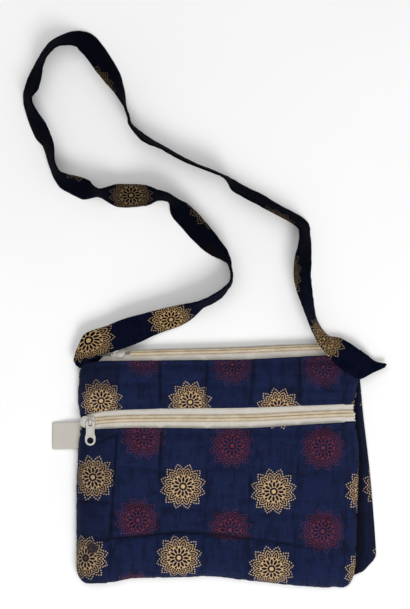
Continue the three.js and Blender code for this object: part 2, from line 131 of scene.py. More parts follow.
# The bag's outline at its sides, the lines that cross its front and the fall towards the top zip
LEFT_SIDE = Rows(("y", "x"), (
    (-103.5, -111.6), (-101.7, -118.8), (-97.2, -124.2), (-90.9, -126.4), (-68, -126.9), (-28, -126.9),
    (13, -125.5), (44, -123.3), (62, -125.5), (80, -124.6), (92, -122.8), (98, -118), (106, -110),
))
RIGHT_SIDE = Rows(("y", "x"), (
    (-107, 112.5), (-104.4, 117.9), (-99.9, 121.5), (-94.5, 123.3), (-82, 125.1), (-28, 126.9),
    (12, 128.2), (40, 125.1), (58, 124.2), (76, 126.9), (90, 127), (100, 122), (112, 111),
))
BACK_RIGHT = Rows(("y", "x"), (
    (-106, 113), (-99.5, 120.6), (-96, 123.4), (-93.5, 130.5), (-88, 135.9), (-82, 141.3), (-77.4, 143.1),
    (-68, 142.6), (-37, 140.4), (-5, 137.7), (26, 134.1), (49, 131.4), (67, 129.8), (80, 128.5), (95, 126),
    (109, 113),
))
CROSSING = ("bottom", "zip_low", "zip_high", "hem", "ridge")
FRONT_LINES = Rows(("x", *CROSSING), (
    (-124, -103.5, 34.9, 47.5, 95, 102.5),
    (-101, -103, 36.5, 52.2, 97.3, 105),
    (-78, -99, 37.4, 53.7, 97.6, 106.3),
    (-29, -98.1, 37.2, 54.8, 98, 107.7),
    (-8, -97.2, 36.9, 54.9, 98.2, 108.2),
    (25, -100.3, 37.2, 55.3, 98.6, 109.2),
    (70, -105, 39.7, 56.9, 100.8, 111),
    (100, -107.1, 41.5, 58, 102.2, 111.8),
    (124, -107.1, 42.8, 58.8, 102, 112),
))
TOP_FALL = Rows(("v", "fall"), ((0, 0), (2.3, 0), (3, 2), (4, 4.8)))

# Quilting lines: the upright ones at the top and foot of each panel, the level ones along the bag
POCKET_UPRIGHTS = Rows(("top", "foot"), (
    (-89.1, -98.1), (-50.4, -54.9), (-8.1, -14.4), (31.5, 26.1), (73.8, 68.4),
))
YOKE_UPRIGHTS = Rows(("top", "foot"), (
    (-90.5, -89.1), (-51.3, -50.9), (-9, -9.9), (32.4, 30.2), (74.7, 73.8),
))
LEVELS = Rows(("x", "low", "middle", "high", "yoke"), (
    (-126, -63, -27.9, 3.2, 79.5),
    (-96, -61.5, -29.5, 2.7, 78.6),
    (-35, -55.5, -34, 2.2, 76.2),
    (-6, -57, -36, 1.6, 75),
    (30, -61.5, -38.5, 0.9, 73.6),
    (71, -67, -40, -1.2, 72.2),
    (120, -72, -42, -3, 71),
))

# Where the printed motifs lie on each front panel, as the x and y of their centres
POCKET_MOTIFS = printed(
    gold=(
        (-112.6, -7.2), (-31, -15.3), (51.3, -19.8), (136.5, -19.8),
        (-119.6, -80.4), (-34.6, -80.1), (49.5, -90), (136.5, -94.5), (55.8, 57.5),
    ),
    maroon=(
        (-66.2, 29.7), (13.5, 21.6), (95.9, 19.8), (-72, -45.9), (11.7, -54.9), (95.9, -55.8),
        (-74.7, -114.3), (7, -124), (90, -128),
    ),
)
YOKE_MOTIFS = printed(
    gold=((-105.3, 61), (-24.3, 59.5), (55.5, 53), (142.5, 52.2)),
    maroon=((-66, 102), (13.8, 94.5), (96, 92), (-147, 100)),
)

# Stains on the pocket: where each is full and where it ends, and how ragged it is
STAINS = Rows(("x", "y", "inner", "outer", "ragged"), (
    (-113.6, -71.7, 6.1, 8.8, 5), (-119.6, -80.4, 2.2, 3.2, 1),
))

# Creases in the front: a groove between two points, and how far the cloth at its left side swells; depth and
# wide also set the painted shade along it
CREASES = Rows(("x0", "y0", "x1", "y1", "depth", "lift", "wide"), (
    (-98, -61.5, -35, -55.5, 1.9, 1.7, 5.5),
    (-35, -55.5, -6, -57, 1.8, 1.8, 6),
    (-6, -57, 30, -61.5, 1.7, 1.5, 5.5),
    (30, -61.5, 71, -67, 1.2, 0.9, 4.5),
    (-89.5, 30, -93, -20, 1.5, 1.1, 4),
    (-93, -20, -96.5, -62, 1.2, 0.7, 4),
    (-52, 4, -50.4, 33, 1.9, 1.0, 4),
    (-109, 24.5, -92, 31, 1.2, 0.6, 4),
    (115, 87, 117.5, 73, 1.2, 0.8, 4),
    (-90.5, 96, -89.1, 60, 0.7, 0.3, 3),
    (-51.3, 96, -50.9, 60, 1.4, 0.4, 3),
    (-9, 96, -9.9, 60, 1.3, 0.4, 3),
    (32.4, 97, 30.2, 60, 1.2, 0.4, 3),
    (74.7, 99, 73.8, 62, 1.2, 0.4, 3),
    (-122, 4, -94, 8, 0.6, 0.5, 4),
    (-124, -28, -96, -29, 1.3, 0.6, 4),
    (-111, -60, -97, -64, 1.3, 0.6, 4),
))

# Where the front pull turns on its slider
PULL_AT = Vector((-113.6, 42.7, 16.1))


def lerp(low: Numbers, high: Numbers, share: Numbers) -> Array:
    """The value a share of the way from low to high."""
    return low + (high - low) * share


def smoothstep(at: Numbers, low: float, high: float) -> Array:
    """0 below low, 1 above high and an even curve between."""
    t = np.clip((at - low) / (high - low), 0, 1)
    return t * t * (3 - 2 * t)


def plateau(at: Numbers, low: Pair, high: Pair) -> Array:
    """0 outside two ranges and 1 between them, with an even curve in each."""
    return smoothstep(at, *low) * (1 - smoothstep(at, *high))


def bell(away: Numbers, wide: Numbers) -> Array:
    """1 at no distance, falling away smoothly."""
    return np.exp(-((away / wide) ** 2))


def unit(vectors: Array) -> Array:
    """Vectors cut to a length of one."""
    return vectors / np.maximum(np.linalg.norm(vectors, axis=-1, keepdims=True), TINY)


def travelled(points: Array) -> Array:
    """The way along a line of points, from its first one."""
    return np.concatenate([[0], np.cumsum(np.linalg.norm(np.diff(points, axis=0), axis=1))])


def read_along(travel: Array, rows: Array, at: Numbers) -> Array:
    """Rows of three numbers, read at places along their line."""
    return np.stack([np.interp(at, travel, rows[:, k]) for k in range(3)], -1)


@dataclass(frozen=True)
class FrontSkin:
    """The smooth inner face of the bag's whole front.

    u runs from the left seam to the right one, and v counts the crossing lines: 0 at the bottom seam, 1
    and 2 at the hems of the front zip, 3 at the top hem and 4 at the ridge of the top zip.
    """

    left: float = -122.0
    right: float = 123.0
    seam_z: float = 3.8
    hollow_z: float = 12.6
    seam_inset: float = 2.4
    roll: float = 10.0
    hem_flat: float = 9.0
    hem_dip: float = 0.8

    @property
    def width(self) -> float:
        """The front's nominal width."""
        return self.right - self.left

    def lines(self, u: Array) -> Array:
        """The crossing lines' heights on the page at each u, one row a line.

        Args:
            u: Places from seam to seam.

        Returns:
            The heights.
        """
        x = lerp(self.left, self.right, u)
        found = np.stack([FRONT_LINES.read("x", name, x) for name in CROSSING])
        found[0] += self.seam_inset
        return found

    def line_y(self, u: Array, v: Array) -> Array:
        """Where v lies between the crossing lines at u.

        Args:
            u: Places from seam to seam.
            v: Places between the crossing lines.

        Returns:
            The heights on the page.
        """
        u, v = np.broadcast_arrays(np.asarray(u, float), np.asarray(v, float))
        lines = self.lines(u)
        step = np.clip(np.floor(v), 0, len(CROSSING) - 2).astype(int)
        low, high = (np.take_along_axis(lines, step[None] + k, 0)[0] for k in (0, 1))
        return lerp(low, high, v - step)

    def sides(self, y: Array) -> tuple[Array, Array]:
        """The left and the right seam's x at heights on the page."""
        left, right = (side.read("y", "x", y) for side in (LEFT_SIDE, RIGHT_SIDE))
        return left + self.seam_inset, right - self.seam_inset

    def rolled(self, distance: Array) -> Array:
        """How far up the rounded edge a point is, by its distance from the seam."""
        left = 1 - np.clip(distance / self.roll, 0, 1)
        return np.sqrt(1 - left * left)

    def at(self, u: Array, y: Array) -> Array:
        """The skin's points at places on the page: u from seam to seam, y in millimetres.

        Args:
            u: Places from seam to seam.
            y: Heights on the page.

        Returns:
            Points in millimetres.
        """
        lines = self.lines(u)
        v = np.zeros_like(u)
        for k in range(len(CROSSING) - 1):
            share = (y - lines[k]) / (lines[k + 1] - lines[k])
            v = np.where(share >= 0, k + np.minimum(share, 1), v)
        return self.points(u, v)

    def points(self, u: Array, v: Array) -> Array:
        """The skin's points.

        Args:
            u: Places from seam to seam.
            v: Places between the crossing lines, of the same shape.

        Returns:
            Points in millimetres, in one more axis.
        """
        y = self.line_y(u, v)
        left = self.sides(self.line_y(np.zeros_like(v), v))[0]
        right = self.sides(self.line_y(np.ones_like(v), v))[1]
        lines = self.lines(u)
        side = self.rolled(np.minimum(u, 1 - u) * self.width)
        foot = self.rolled(y - lines[0])
        from_hem = np.min(np.abs(y[None] - lines[1:4]), 0)
        on_zip = ((v > 1) & (v < 2)) | (v > 3)
        hem = np.where(on_zip, 0, smoothstep(from_hem, 0, self.hem_flat))
        top = self.hollow_z - TOP_FALL.read("v", "fall", v) - self.hem_dip * (1 - hem) * side * foot
        return np.stack([lerp(left, right, u), y, self.seam_z + (top - self.seam_z) * side * foot], -1)


SKIN = FrontSkin()


def normals_of(points: Array) -> Array:
    """The normals of a grid of points, from its neighbours."""
    return unit(np.cross(np.gradient(points, axis=0), np.gradient(points, axis=1)))


def flat_of(points: Array) -> Array:
    """The cloth's flat coordinates: the page's own, with what its slopes add towards the edges.

    Args:
        points: The cloth's grid of points.

    Returns:
        Two coordinates a point.
    """
    found = []
    for axis, still in ((0, points.shape[0] // 2), (1, points.shape[1] * 2 // 3)):
        steps = np.diff(points, axis=axis)
        spare = np.linalg.norm(steps, axis=-1) - np.abs(steps[..., axis])
        extra = np.insert(np.cumsum(spare, axis), 0, 0, axis)
        found.append(points[..., axis] + extra - np.take(extra, [still], axis))
    return np.stack(found, -1)


def link(name: str, data: bpy.types.ID) -> Piece:
    """A new object in the scene.

    Args:
        name: Its name.
        data: Its mesh, curve, lamp or camera.

    Returns:
        The object.
    """
    made = bpy.data.objects.new(name, data)
    bpy.context.scene.collection.objects.link(made)
    return made


def smooth(mesh: Mesh) -> None:
    """Shades a mesh smoothly."""
    for polygon in mesh.polygons:
        polygon.use_smooth = True


def add_object(name: str, bm: bmesh.types.BMesh) -> Piece:
    """Turns a bmesh into a smooth linked object and frees it.

    Args:
        name: Its name.
        bm: The bmesh.

    Returns:
        The object.
    """
    mesh = bpy.data.meshes.new(name)
    bm.to_mesh(mesh)
    bm.free()
    smooth(mesh)
    return link(name, mesh)


def cloth_grid(name: str, points: Array, flat: Array) -> tuple[Piece, Array]:
    """A grid mesh on given points, with the cloth's flat coordinates as its UV map.

    Args:
        name: The object's name.
        points: Columns by rows of points, in millimetres.
        flat: The cloth's flat coordinates at the same places.

    Returns:
        The new object, and for each of its vertices the place in the grid that it came from.
    """
    columns, rows = points.shape[:2]
    bm = bmesh.new()
    bmesh.ops.create_grid(bm, x_segments=columns - 1, y_segments=rows - 1, size=1)
    layer = bm.loops.layers.uv.new("cloth")
    spots = {
        vert: (round((vert.co.x + 1) / 2 * (columns - 1)), round((vert.co.y + 1) / 2 * (rows - 1)))
        for vert in bm.verts
    }
    for face in bm.faces:
        for loop in face.loops:
            loop[layer].uv = flat[spots[loop.vert]]
    for vert, at in spots.items():
        vert.co = Vector(points[at]) * MM
    order = np.array([column * rows + row for column, row in spots.values()])
    return add_object(name, bm), order


def coordinates(mesh: Mesh) -> Array:
    """A mesh's points as an array, in metres.

    Args:
        mesh: The mesh.

    Returns:
        One row a point.
    """
    found = np.zeros(len(mesh.vertices) * 3, np.float32)
    mesh.vertices.foreach_get("co", found)
    return found.reshape(-1, 3).astype(float)


def place(mesh: Mesh, points: Array) -> None:
    """Moves a mesh's points to an array's places, in metres."""
    mesh.vertices.foreach_set("co", points.astype(np.float32).ravel())
    mesh.update()


def mark(mesh: Mesh, name: str, values: Sequence[float], domain: str = "POINT") -> None:
    """Keeps a number for each of a mesh's points or faces."""
    layer = mesh.attributes.get(name) or mesh.attributes.new(name, "FLOAT", domain)
    layer.data.foreach_set("value", np.asarray(values, np.float32))


def modified(piece: Piece, kind: str, **settings: object) -> Piece:
    """Adds a modifier to a piece and makes it part of its mesh.

    Args:
        piece: The piece.
        kind: The modifier's type.
        settings: The modifier's own properties.

    Returns:
        The same piece.
    """
    added = piece.modifiers.new(kind.lower(), kind)
    for name, value in settings.items():
        setattr(added, name, value)
    graph = bpy.context.evaluated_depsgraph_get()
    made = bpy.data.meshes.new_from_object(piece.evaluated_get(graph))
    piece.modifiers.clear()
    old, piece.data = piece.data, made
    bpy.data.meshes.remove(old)
    return piece


def thicken(piece: Piece, thickness: float, offset: float = -1.0) -> Piece:
    """Gives a sheet its thickness in millimetres, to one side or, with an offset of 0, to both."""
    return modified(piece, "SOLIDIFY", thickness=thickness * MM, offset=offset)


def close_up(mesh: Mesh, gap: float) -> None:
    """Sews edges that lie within a gap together, fills open ends and turns the faces outwards.

    Args:
        mesh: The mesh.
        gap: The gap in millimetres.
    """
    bm = bmesh.new()
    bm.from_mesh(mesh)
    bmesh.ops.remove_doubles(bm, verts=bm.verts, dist=gap * MM)
    bmesh.ops.holes_fill(bm, edges=[edge for edge in bm.edges if edge.is_boundary], sides=0)
    bmesh.ops.recalc_face_normals(bm, faces=bm.faces)
    bm.to_mesh(mesh)
    bm.free()


def dress(piece: Piece, material: Material, slot: Slot, node: str = "", body: str = "bag") -> Piece:
    """Gives a piece its material and the body that it moves with.

    Args:
        piece: The piece.
        material: What it is made of.
        slot: Not used.
        node: The solid that it stands for, if any.
        body: The body that it rides on.

    Returns:
        The piece.
    """
    piece.data.materials.append(material)
    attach(piece, body)
    if node:
        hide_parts(node)
    return piece


def print_motifs(piece: Piece, motifs: Rows, gather: float = 0.975) -> None:
    """Gives each face the coordinates of the printed motif that it is nearest to.

    Args:
        piece: A piece with a cloth UV map.
        motifs: The motifs' centres on the cloth and their inks.
        gather: The share that the quilting has drawn the printed cloth in to.
    """
    mesh = piece.data
    flat = np.zeros(len(mesh.loops) * 2, np.float32)
    mesh.uv_layers["cloth"].uv.foreach_get("vector", flat)
    flat = flat.reshape(-1, 2)
    owner = np.repeat(np.arange(len(mesh.polygons)), [p.loop_total for p in mesh.polygons])
    count = np.bincount(owner)
    middle = np.stack([np.bincount(owner, flat[:, k]) / count for k in (0, 1)], -1)
    centres = np.stack([motifs.column("x"), motifs.column("y")], -1)
    nearest = np.argmin(np.linalg.norm(middle[:, None] - centres[None], axis=-1), 1)
    local = (flat - centres[nearest][owner]) / gather
    mesh.uv_layers.new(name="motif").uv.foreach_set("vector", local.astype(np.float32).ravel())
    mark(mesh, "ink", motifs.column("ink")[nearest], "FACE")


def colour(*screen: int) -> tuple[float, ...]:
    """A shader colour from the screen's red, green and blue, 0 to 255."""
    parts = [part / 255 for part in screen]
    return (*(p / 12.92 if p <= 0.04045 else ((p + 0.055) / 1.055) ** 2.4 for p in parts), 1.0)


@dataclass(frozen=True)
class Wire:
    """A value in a node tree, whose arithmetic adds Math nodes to the tree."""

    graph: Graph
    socket: Socket

    def __add__(self, other: Wire | float) -> Wire:
        """The sum."""
        return self.graph.math("ADD", self, other)

    def __sub__(self, other: Wire | float) -> Wire:
        """The difference."""
        return self.graph.math("SUBTRACT", self, other)

    def __rsub__(self, other: float) -> Wire:
        """The difference from a plain number."""
        return self.graph.math("SUBTRACT", other, self)

    def __mul__(self, other: Wire | float) -> Wire:
        """The product."""
        return self.graph.math("MULTIPLY", self, other)

    def __truediv__(self, other: Wire | float) -> Wire:
        """The quotient."""
        return self.graph.math("DIVIDE", self, other)


class Graph:
    """A node tree with short ways to add nodes and join them."""

    def __init__(self, tree: bpy.types.NodeTree) -> None:
        """Keeps the tree."""
        self.tree = tree

    def add(self, kind: str, inputs: dict | None = None, **settings: object) -> bpy.types.Node:
        """Adds a node.

        Args:
            kind: The node's type.
            inputs: Numbers or values for its inputs, by name or number.
            settings: The node's own properties.

        Returns:
            The node.
        """
        node = self.tree.nodes.new(kind)
        for name, value in settings.items():
            setattr(node, name, value)
        self.fill(node, inputs or {})
        return node

    def fill(self, node: bpy.types.Node, inputs: dict) -> None:
        """Joins a node's inputs to values, or sets them to plain numbers.

        Args:
            node: The node.
            inputs: Values by the inputs' names or numbers.
        """
        for key, value in inputs.items():
            if isinstance(value, Wire):
                self.tree.links.new(value.socket, node.inputs[key])
            else:
                node.inputs[key].default_value = value

    def value(self, kind: str, output: int | str, inputs: dict | None = None, **settings: object) -> Wire:
        """Adds a node and gives one of its outputs."""
        return Wire(self, self.add(kind, inputs, **settings).outputs[output])

    def use(self, group: bpy.types.NodeTree, inputs: dict) -> dict[str, Wire]:
        """Places a node group, feeds it and gives its outputs by name."""
        node = self.add("ShaderNodeGroup", inputs, node_tree=group)
        return {socket.name: Wire(self, socket) for socket in node.outputs}

    def math(self, operation: str, *values: Wire | float) -> Wire:
        """A Math node's result."""
        return self.value("ShaderNodeMath", 0, dict(enumerate(values)), operation=operation)

    def mix(self, share: Wire | float, first: Wire | Rgb, second: Wire | Rgb) -> Wire:
        """A colour mixed from two."""
        first, second = (colour(*c) if isinstance(c, tuple) else c for c in (first, second))
        return self.value("ShaderNodeMix", 2, {0: share, 6: first, 7: second}, data_type="RGBA")

    def span(self, value: Wire, low: float, high: float, start: float = 0.0, end: float = 1.0) -> Wire:
        """A value carried smoothly from one range to another and held at its ends."""
        inputs = {0: value, 1: low, 2: high, 3: start, 4: end}
        return self.value("ShaderNodeMapRange", 0, inputs, interpolation_type="SMOOTHSTEP")

    def within(self, distance: Wire, soft: float = 0.14) -> Wire:
        """1 where a distance is below 0, with a soft edge."""
        return self.span(distance, -soft, soft, 1.0, 0.0)

    def hypot(self, first: Wire, second: Wire) -> Wire:
        """The length of two sides."""
        return self.math("SQRT", self.math("POWER", first, 2.0) + self.math("POWER", second, 2.0))

    def parts(self, vector: Wire) -> tuple[Wire, Wire]:
        """A vector's first two numbers."""
        node = self.add("ShaderNodeSeparateXYZ", {0: vector})
        return Wire(self, node.outputs[0]), Wire(self, node.outputs[1])

    def uv(self, name: str) -> Wire:
        """A UV map's coordinates."""
        return self.value("ShaderNodeUVMap", 0, uv_map=name)

    def marked(self, name: str) -> Wire:
        """A number that the mesh keeps."""
        return self.value("ShaderNodeAttribute", "Fac", attribute_name=name)

    def where(self) -> Wire:
        """The place in the bag's own frame."""
        return self.value("ShaderNodeTexCoord", "Object")

    def noise(self, at: Wire, scale: float, detail: float = 3.0, stretch: tuple = (1, 1, 1)) -> Wire:
        """A noise pattern's value, stretched along the axes with small numbers.

        Args:
            at: The coordinates.
            scale: How fine it is.
            detail: How rich it is.
            stretch: The coordinates' factors.

        Returns:
            The value.
        """
        mapped = self.value("ShaderNodeMapping", 0, {"Vector": at, "Scale": stretch})
        inputs = {"Vector": mapped, "Scale": scale, "Detail": detail, "Roughness": 0.6}
        return self.value("ShaderNodeTexNoise", 0, inputs)

    def bump(self, height: Wire, strength: float, deep: float, under: Wire | None = None) -> Wire:
        """A normal bumped by a height, deep in millimetres, over an earlier one if there is one."""
        inputs = {"Strength": strength, "Distance": deep * MM, "Height": height}
        return self.value("ShaderNodeBump", 0, inputs | ({"Normal": under} if under else {}))


def new_group(
    name: str, takes: dict[str, str], gives: Sequence[str]
) -> tuple[Graph, dict[str, Wire], bpy.types.Node]:
    """Starts a shader node group.

    Args:
        name: The group's name.
        takes: Its inputs' names and socket kinds.
        gives: Its outputs' names, all plain numbers.

    Returns:
        The group's graph, its inputs by name, and its output node.
    """
    tree = bpy.data.node_groups.new(name, "ShaderNodeTree")
    for label, kind in takes.items():
        tree.interface.new_socket(label, in_out="INPUT", socket_type=f"NodeSocket{kind}")
    for label in gives:
        tree.interface.new_socket(label, in_out="OUTPUT", socket_type="NodeSocketFloat")
    graph = Graph(tree)
    start, end = graph.add("NodeGroupInput"), graph.add("NodeGroupOutput")
    return graph, {label: Wire(graph, start.outputs[label]) for label in takes}, end


@dataclass(frozen=True)
class MandalaSizes:
    """The printed motif's radii in millimetres, and the circles that its petals are cut from."""

    petals: int = 12
    turned: float = 0.04
    disc: float = 1.9
    ring: float = 3.65
    hub: float = 9.0
    slot_at: float = 6.5
    slot_half: float = 2.6
    slot_wide: float = 1.2
    petal_at: float = 11.2
    petal_aside: float = 4.1
    petal_round: float = 7.5
    band: Pair = (0.58, 1.95)
    band_from: float = 10.4
    core: float = 2.4
    core_from: float = 11.1
    wedge_at: float = 9.1
    wedge_half: float = 1.65
    wedge_taper: Pair = (0.38, 2.45)
    dots_at: float = 13.0
    dots_aside: float = 5.6
    dots_round: float = 9.65
    dots_from: Pair = (13.5, 14.2)
    dot_turn: float = 0.225
    dot_first: float = 0.619
    dot: float = 0.6
    field: Pair = (13.0, 19.5)


@cache
def mandala_group(sizes: MandalaSizes = MandalaSizes()) -> bpy.types.NodeTree:
    """The printed motif: a disc, a slotted hub, twelve petals and twelve pointed arcs of dots.

    Args:
        sizes: The motif's sizes.

    Returns:
        The group.
    """
    graph, given, end = new_group("mandala", {"Place": "Vector"}, ("Ink", "Dots", "Field"))
    math_, within, hypot = graph.math, graph.within, graph.hypot
    x, y = graph.parts(given["Place"])
    reach = hypot(x, y)
    sector = math.tau / sizes.petals
    share = math_("FRACT", math_("ARCTAN2", y, x) / sector + (sizes.petals + sizes.turned / sector))
    off = math_("ABSOLUTE", share - 0.5) * sector
    aside = sector / 2 - off
    petal_x, petal_y = reach * math_("COSINE", off), reach * math_("SINE", off)
    slot_x, slot_y = reach * math_("COSINE", aside), reach * math_("SINE", aside)

    # Disc, hub and the teardrop slots in it
    disc, ring, hub = (within(reach - size) for size in (sizes.disc, sizes.ring, sizes.hub))
    slot = hypot((slot_x - sizes.slot_at) / sizes.slot_half, slot_y / sizes.slot_wide)
    slot = within((slot - 1.0) * 0.7)

    # Petals: an outline, a dark band, a loop and a dark core, and a dark wedge between two petals
    depth = hypot(petal_x - sizes.petal_at, petal_y + sizes.petal_aside) - sizes.petal_round
    band = within(depth + sizes.band[0]) - within(depth + sizes.band[1])
    band = band * within(sizes.band_from - petal_x, 0.4)
    core = within(depth + sizes.core) * within(sizes.core_from - petal_x, 0.3)
    petal = within(depth) * (1.0 - (band + core))
    taper = math_("MAXIMUM", petal_x * sizes.wedge_taper[0] - sizes.wedge_taper[1], 0.05)
    wedge = hypot((petal_x - sizes.wedge_at) / sizes.wedge_half, petal_y / taper)
    wedge = within((wedge - 1.0) * 0.6)

    # Dots along the arcs round the petals
    from_x, from_y = petal_x - sizes.dots_at, petal_y + sizes.dots_aside
    count = (math_("ARCTAN2", from_y, from_x) - sizes.dot_first) / sizes.dot_turn
    nearest = math_("FRACT", count + 8.5) - 0.5
    spot = hypot(nearest * (sizes.dot_turn * sizes.dots_round), hypot(from_x, from_y) - sizes.dots_round)
    dots = within(spot - sizes.dot, 0.2) * graph.span(petal_x, *sizes.dots_from)
    inked = math_("MAXIMUM", hub * (1.0 - ring), petal) * (1.0 - slot) * (1.0 - wedge)
    inked = math_("MAXIMUM", math_("MAXIMUM", inked, disc), dots)
    graph.fill(end, {"Ink": inked, "Dots": dots, "Field": graph.span(reach, *sizes.field, 1.0, 0.0)})
    return graph.tree


@cache
def cotton_group() -> bpy.types.NodeTree:
    """Plain-woven cotton: the threads' height, slubs along both threads, shade and crinkles.

    Returns:
        The group.
    """
    gives = ("Height", "Slub", "Shade", "Crinkle")
    graph, given, end = new_group("cotton weave", {"Cloth": "Vector", "Pitch": "Float"}, gives)
    cloth = given["Cloth"]
    over, under = (
        graph.math("SINE", axis * math.tau / given["Pitch"]) for axis in graph.parts(cloth)
    )
    warp = graph.noise(cloth, 1.6, 3.0, (1.0, 0.05, 1.0))
    weft = graph.noise(cloth, 1.6, 3.0, (0.05, 1.0, 1.0))
    slub = (warp + weft) * 0.5
    upright = graph.noise(cloth, 0.16, 3.0, (1.0, 0.22, 1.0))
    level = graph.noise(cloth, 0.11, 3.0, (0.25, 1.0, 1.0))
    graph.fill(end, {
        "Height": over * under * 0.35 + slub * 1.6,
        "Slub": graph.span(slub, 0.36, 0.66),
        "Shade": graph.noise(cloth, 0.035, 4.0),
        "Crinkle": graph.span(upright * 0.6 + level * 0.4, 0.38, 0.62),
    })
    return graph.tree


def new_material(name: str) -> tuple[Material, Graph, bpy.types.Node]:
    """A material, its graph and its shader.

    Args:
        name: Its name.

    Returns:
        The three of them.
    """
    material = bpy.data.materials.new(name)
    material.use_nodes = True
    return material, Graph(material.node_tree), material.node_tree.nodes["Principled BSDF"]


@dataclass(frozen=True)
class PrintedCotton:
    """Cotton printed with gold and maroon motifs."""

    name: str
    ground: Rgb = (13, 20, 46)
    pale: Rgb = (23, 34, 71)
    gold: Rgb = (204, 170, 124)
    dot: Rgb = (190, 168, 138)
    maroon: Rgb = (112, 40, 51)
    deep: Rgb = (5, 7, 19)
    stain: Rgb = (38, 31, 39)
    stains: Rows | None = None
    soaked: float = 0.93
    pitch: float = 0.62
    sheen: float = 0.05
    shine: float = 0.12

    def build(self) -> Material:
        """Makes the material.

        Returns:
            The material.
        """
        material, graph, shader = new_material(self.name)
        mix, span, cloth = graph.mix, graph.span, graph.uv("cloth")
        weave = graph.use(cotton_group(), {"Cloth": cloth, "Pitch": self.pitch})
        motif = graph.use(mandala_group(), {"Place": graph.uv("motif")})
        maroon, wear = graph.marked("ink"), graph.noise(cloth, 1.1, 4.0)

        # The plain cloth with painted shade in its crinkles, then both inks worn down to it, then painted
        # shade over creases, quilting lines, crevices and shaded parts, then the stains
        ground = mix(weave["Slub"], self.ground, self.pale)
        ground = mix(span(weave["Shade"], 0.3, 0.7, 0.0, 0.35), ground, self.pale)
        # painted shade: the crinkles' low places, where the bump dips, are darkened towards deep
        ground = mix(span(weave["Crinkle"], 0.0, 0.6, 0.42, 0.0), ground, self.deep)
        gold = mix(motif["Dots"], self.gold, self.dot)
        gold = mix(span(wear, 0.3, 0.6, 0.3, 0.0), gold, ground)
        red = mix(span(wear, 0.38, 0.6, 0.55, 0.08), self.maroon, ground)
        red = mix(motif["Dots"] * 0.4, red, ground)
        field = motif["Field"] * span(maroon, 0.0, 1.0, 0.75, 0.3)
        base = mix(motif["Ink"], mix(field, ground, self.deep), mix(maroon, gold, red))
        # painted shade: this mark darkens the cloth towards deep along creases, quilting lines and crevices
        # and over shaded parts
        base = mix(span(graph.marked("painted_shade"), 0.1, 1.0, 0.0, 0.8), base, self.deep)
        if self.stains:
            base = self._stained(graph, cloth, base)
        creased = graph.bump(weave["Crinkle"], 0.5, 1.2)
        graph.fill(shader, {
            "Base Color": base,
            "Roughness": span(motif["Ink"], 0.0, 1.0, 0.92, 0.78),
            "Normal": graph.bump(weave["Height"], 0.35, 0.3, creased),
            "Specular IOR Level": self.shine,
            "Sheen Weight": self.sheen,
            "Sheen Roughness": 0.5,
            "Sheen Tint": colour(150, 165, 215),
        })
        return material

    def _stained(self, graph: Graph, cloth: Wire, base: Wire) -> Wire:
        """Darkens the cloth round each stain's centre, with a ragged edge.

        Args:
            graph: The material's graph.
            cloth: The cloth's coordinates.
            base: The clean colour.

        Returns:
            The stained colour.
        """
        uneven = graph.noise(cloth, 0.5, 4.0)
        for x, y, inner, outer, ragged in self.stains.rows:
            ends = {0: cloth, 1: (x, y, 0)}
            away = graph.value("ShaderNodeVectorMath", "Value", ends, operation="DISTANCE")
            share = graph.span(uneven * ragged + away, inner, outer, self.soaked, 0.0)
            base = graph.mix(share, base, self.stain)
        return base


@dataclass(frozen=True)
class WovenTape:
    """Cream zip tape or label: a fine twill."""

    name: str
    light: Rgb = (224, 220, 211)
    dark: Rgb = (166, 160, 150)
    pitch: float = 1.15
    slant: float = 1.0
    soil: Rgb = (198, 184, 160)

    def build(self) -> Material:
        """Makes the material.

        Returns:
            The material.
        """
        material, graph, shader = new_material(self.name)
        cloth = graph.uv("cloth")
        along, across = graph.parts(cloth)
        ribs = graph.math("SINE", (across * self.slant + along) * (math.tau / self.pitch))
        picks = graph.math("SINE", across * (math.tau / (self.pitch * 0.8)))
        height = ribs * 0.5 + picks * 0.35 + graph.noise(cloth, 0.9, 4.0, (0.3, 1.0, 1.0))
        base = graph.mix(graph.span(height, -0.4, 1.0), self.dark, self.light)
        soiled = graph.span(graph.noise(cloth, 0.06, 4.0), 0.45, 0.75, 0.0, 0.25)
        graph.fill(shader, {
            "Base Color": graph.mix(soiled, base, self.soil),
            "Roughness": graph.span(height, -0.5, 1.0, 0.9, 0.75),
            "Normal": graph.bump(height, 0.5, 0.3),
            "Specular IOR Level": 0.25,
        })
        return material


@dataclass(frozen=True)
class Fibre:
    """Sewing thread or nylon coil: one colour with its fibres' streaks."""

    name: str
    light: Rgb
    dark: Rgb
    roughness: float = 0.7

    def build(self) -> Material:
        """Makes the material.

        Returns:
            The material.
        """
        material, graph, shader = new_material(self.name)
        where = graph.where()
        streak, patch = graph.noise(where, 1400.0), graph.noise(where, 90.0)
        low, high = self.roughness - 0.08, self.roughness + 0.08
        tone = graph.span(patch * 0.6 + streak * 0.4, 0.35, 0.65)
        graph.fill(shader, {
            "Base Color": graph.mix(tone, self.dark, self.light),
            "Roughness": graph.span(streak, 0.3, 0.7, low, high),
            "Normal": graph.bump(streak, 0.3, 0.1),
        })
        return material


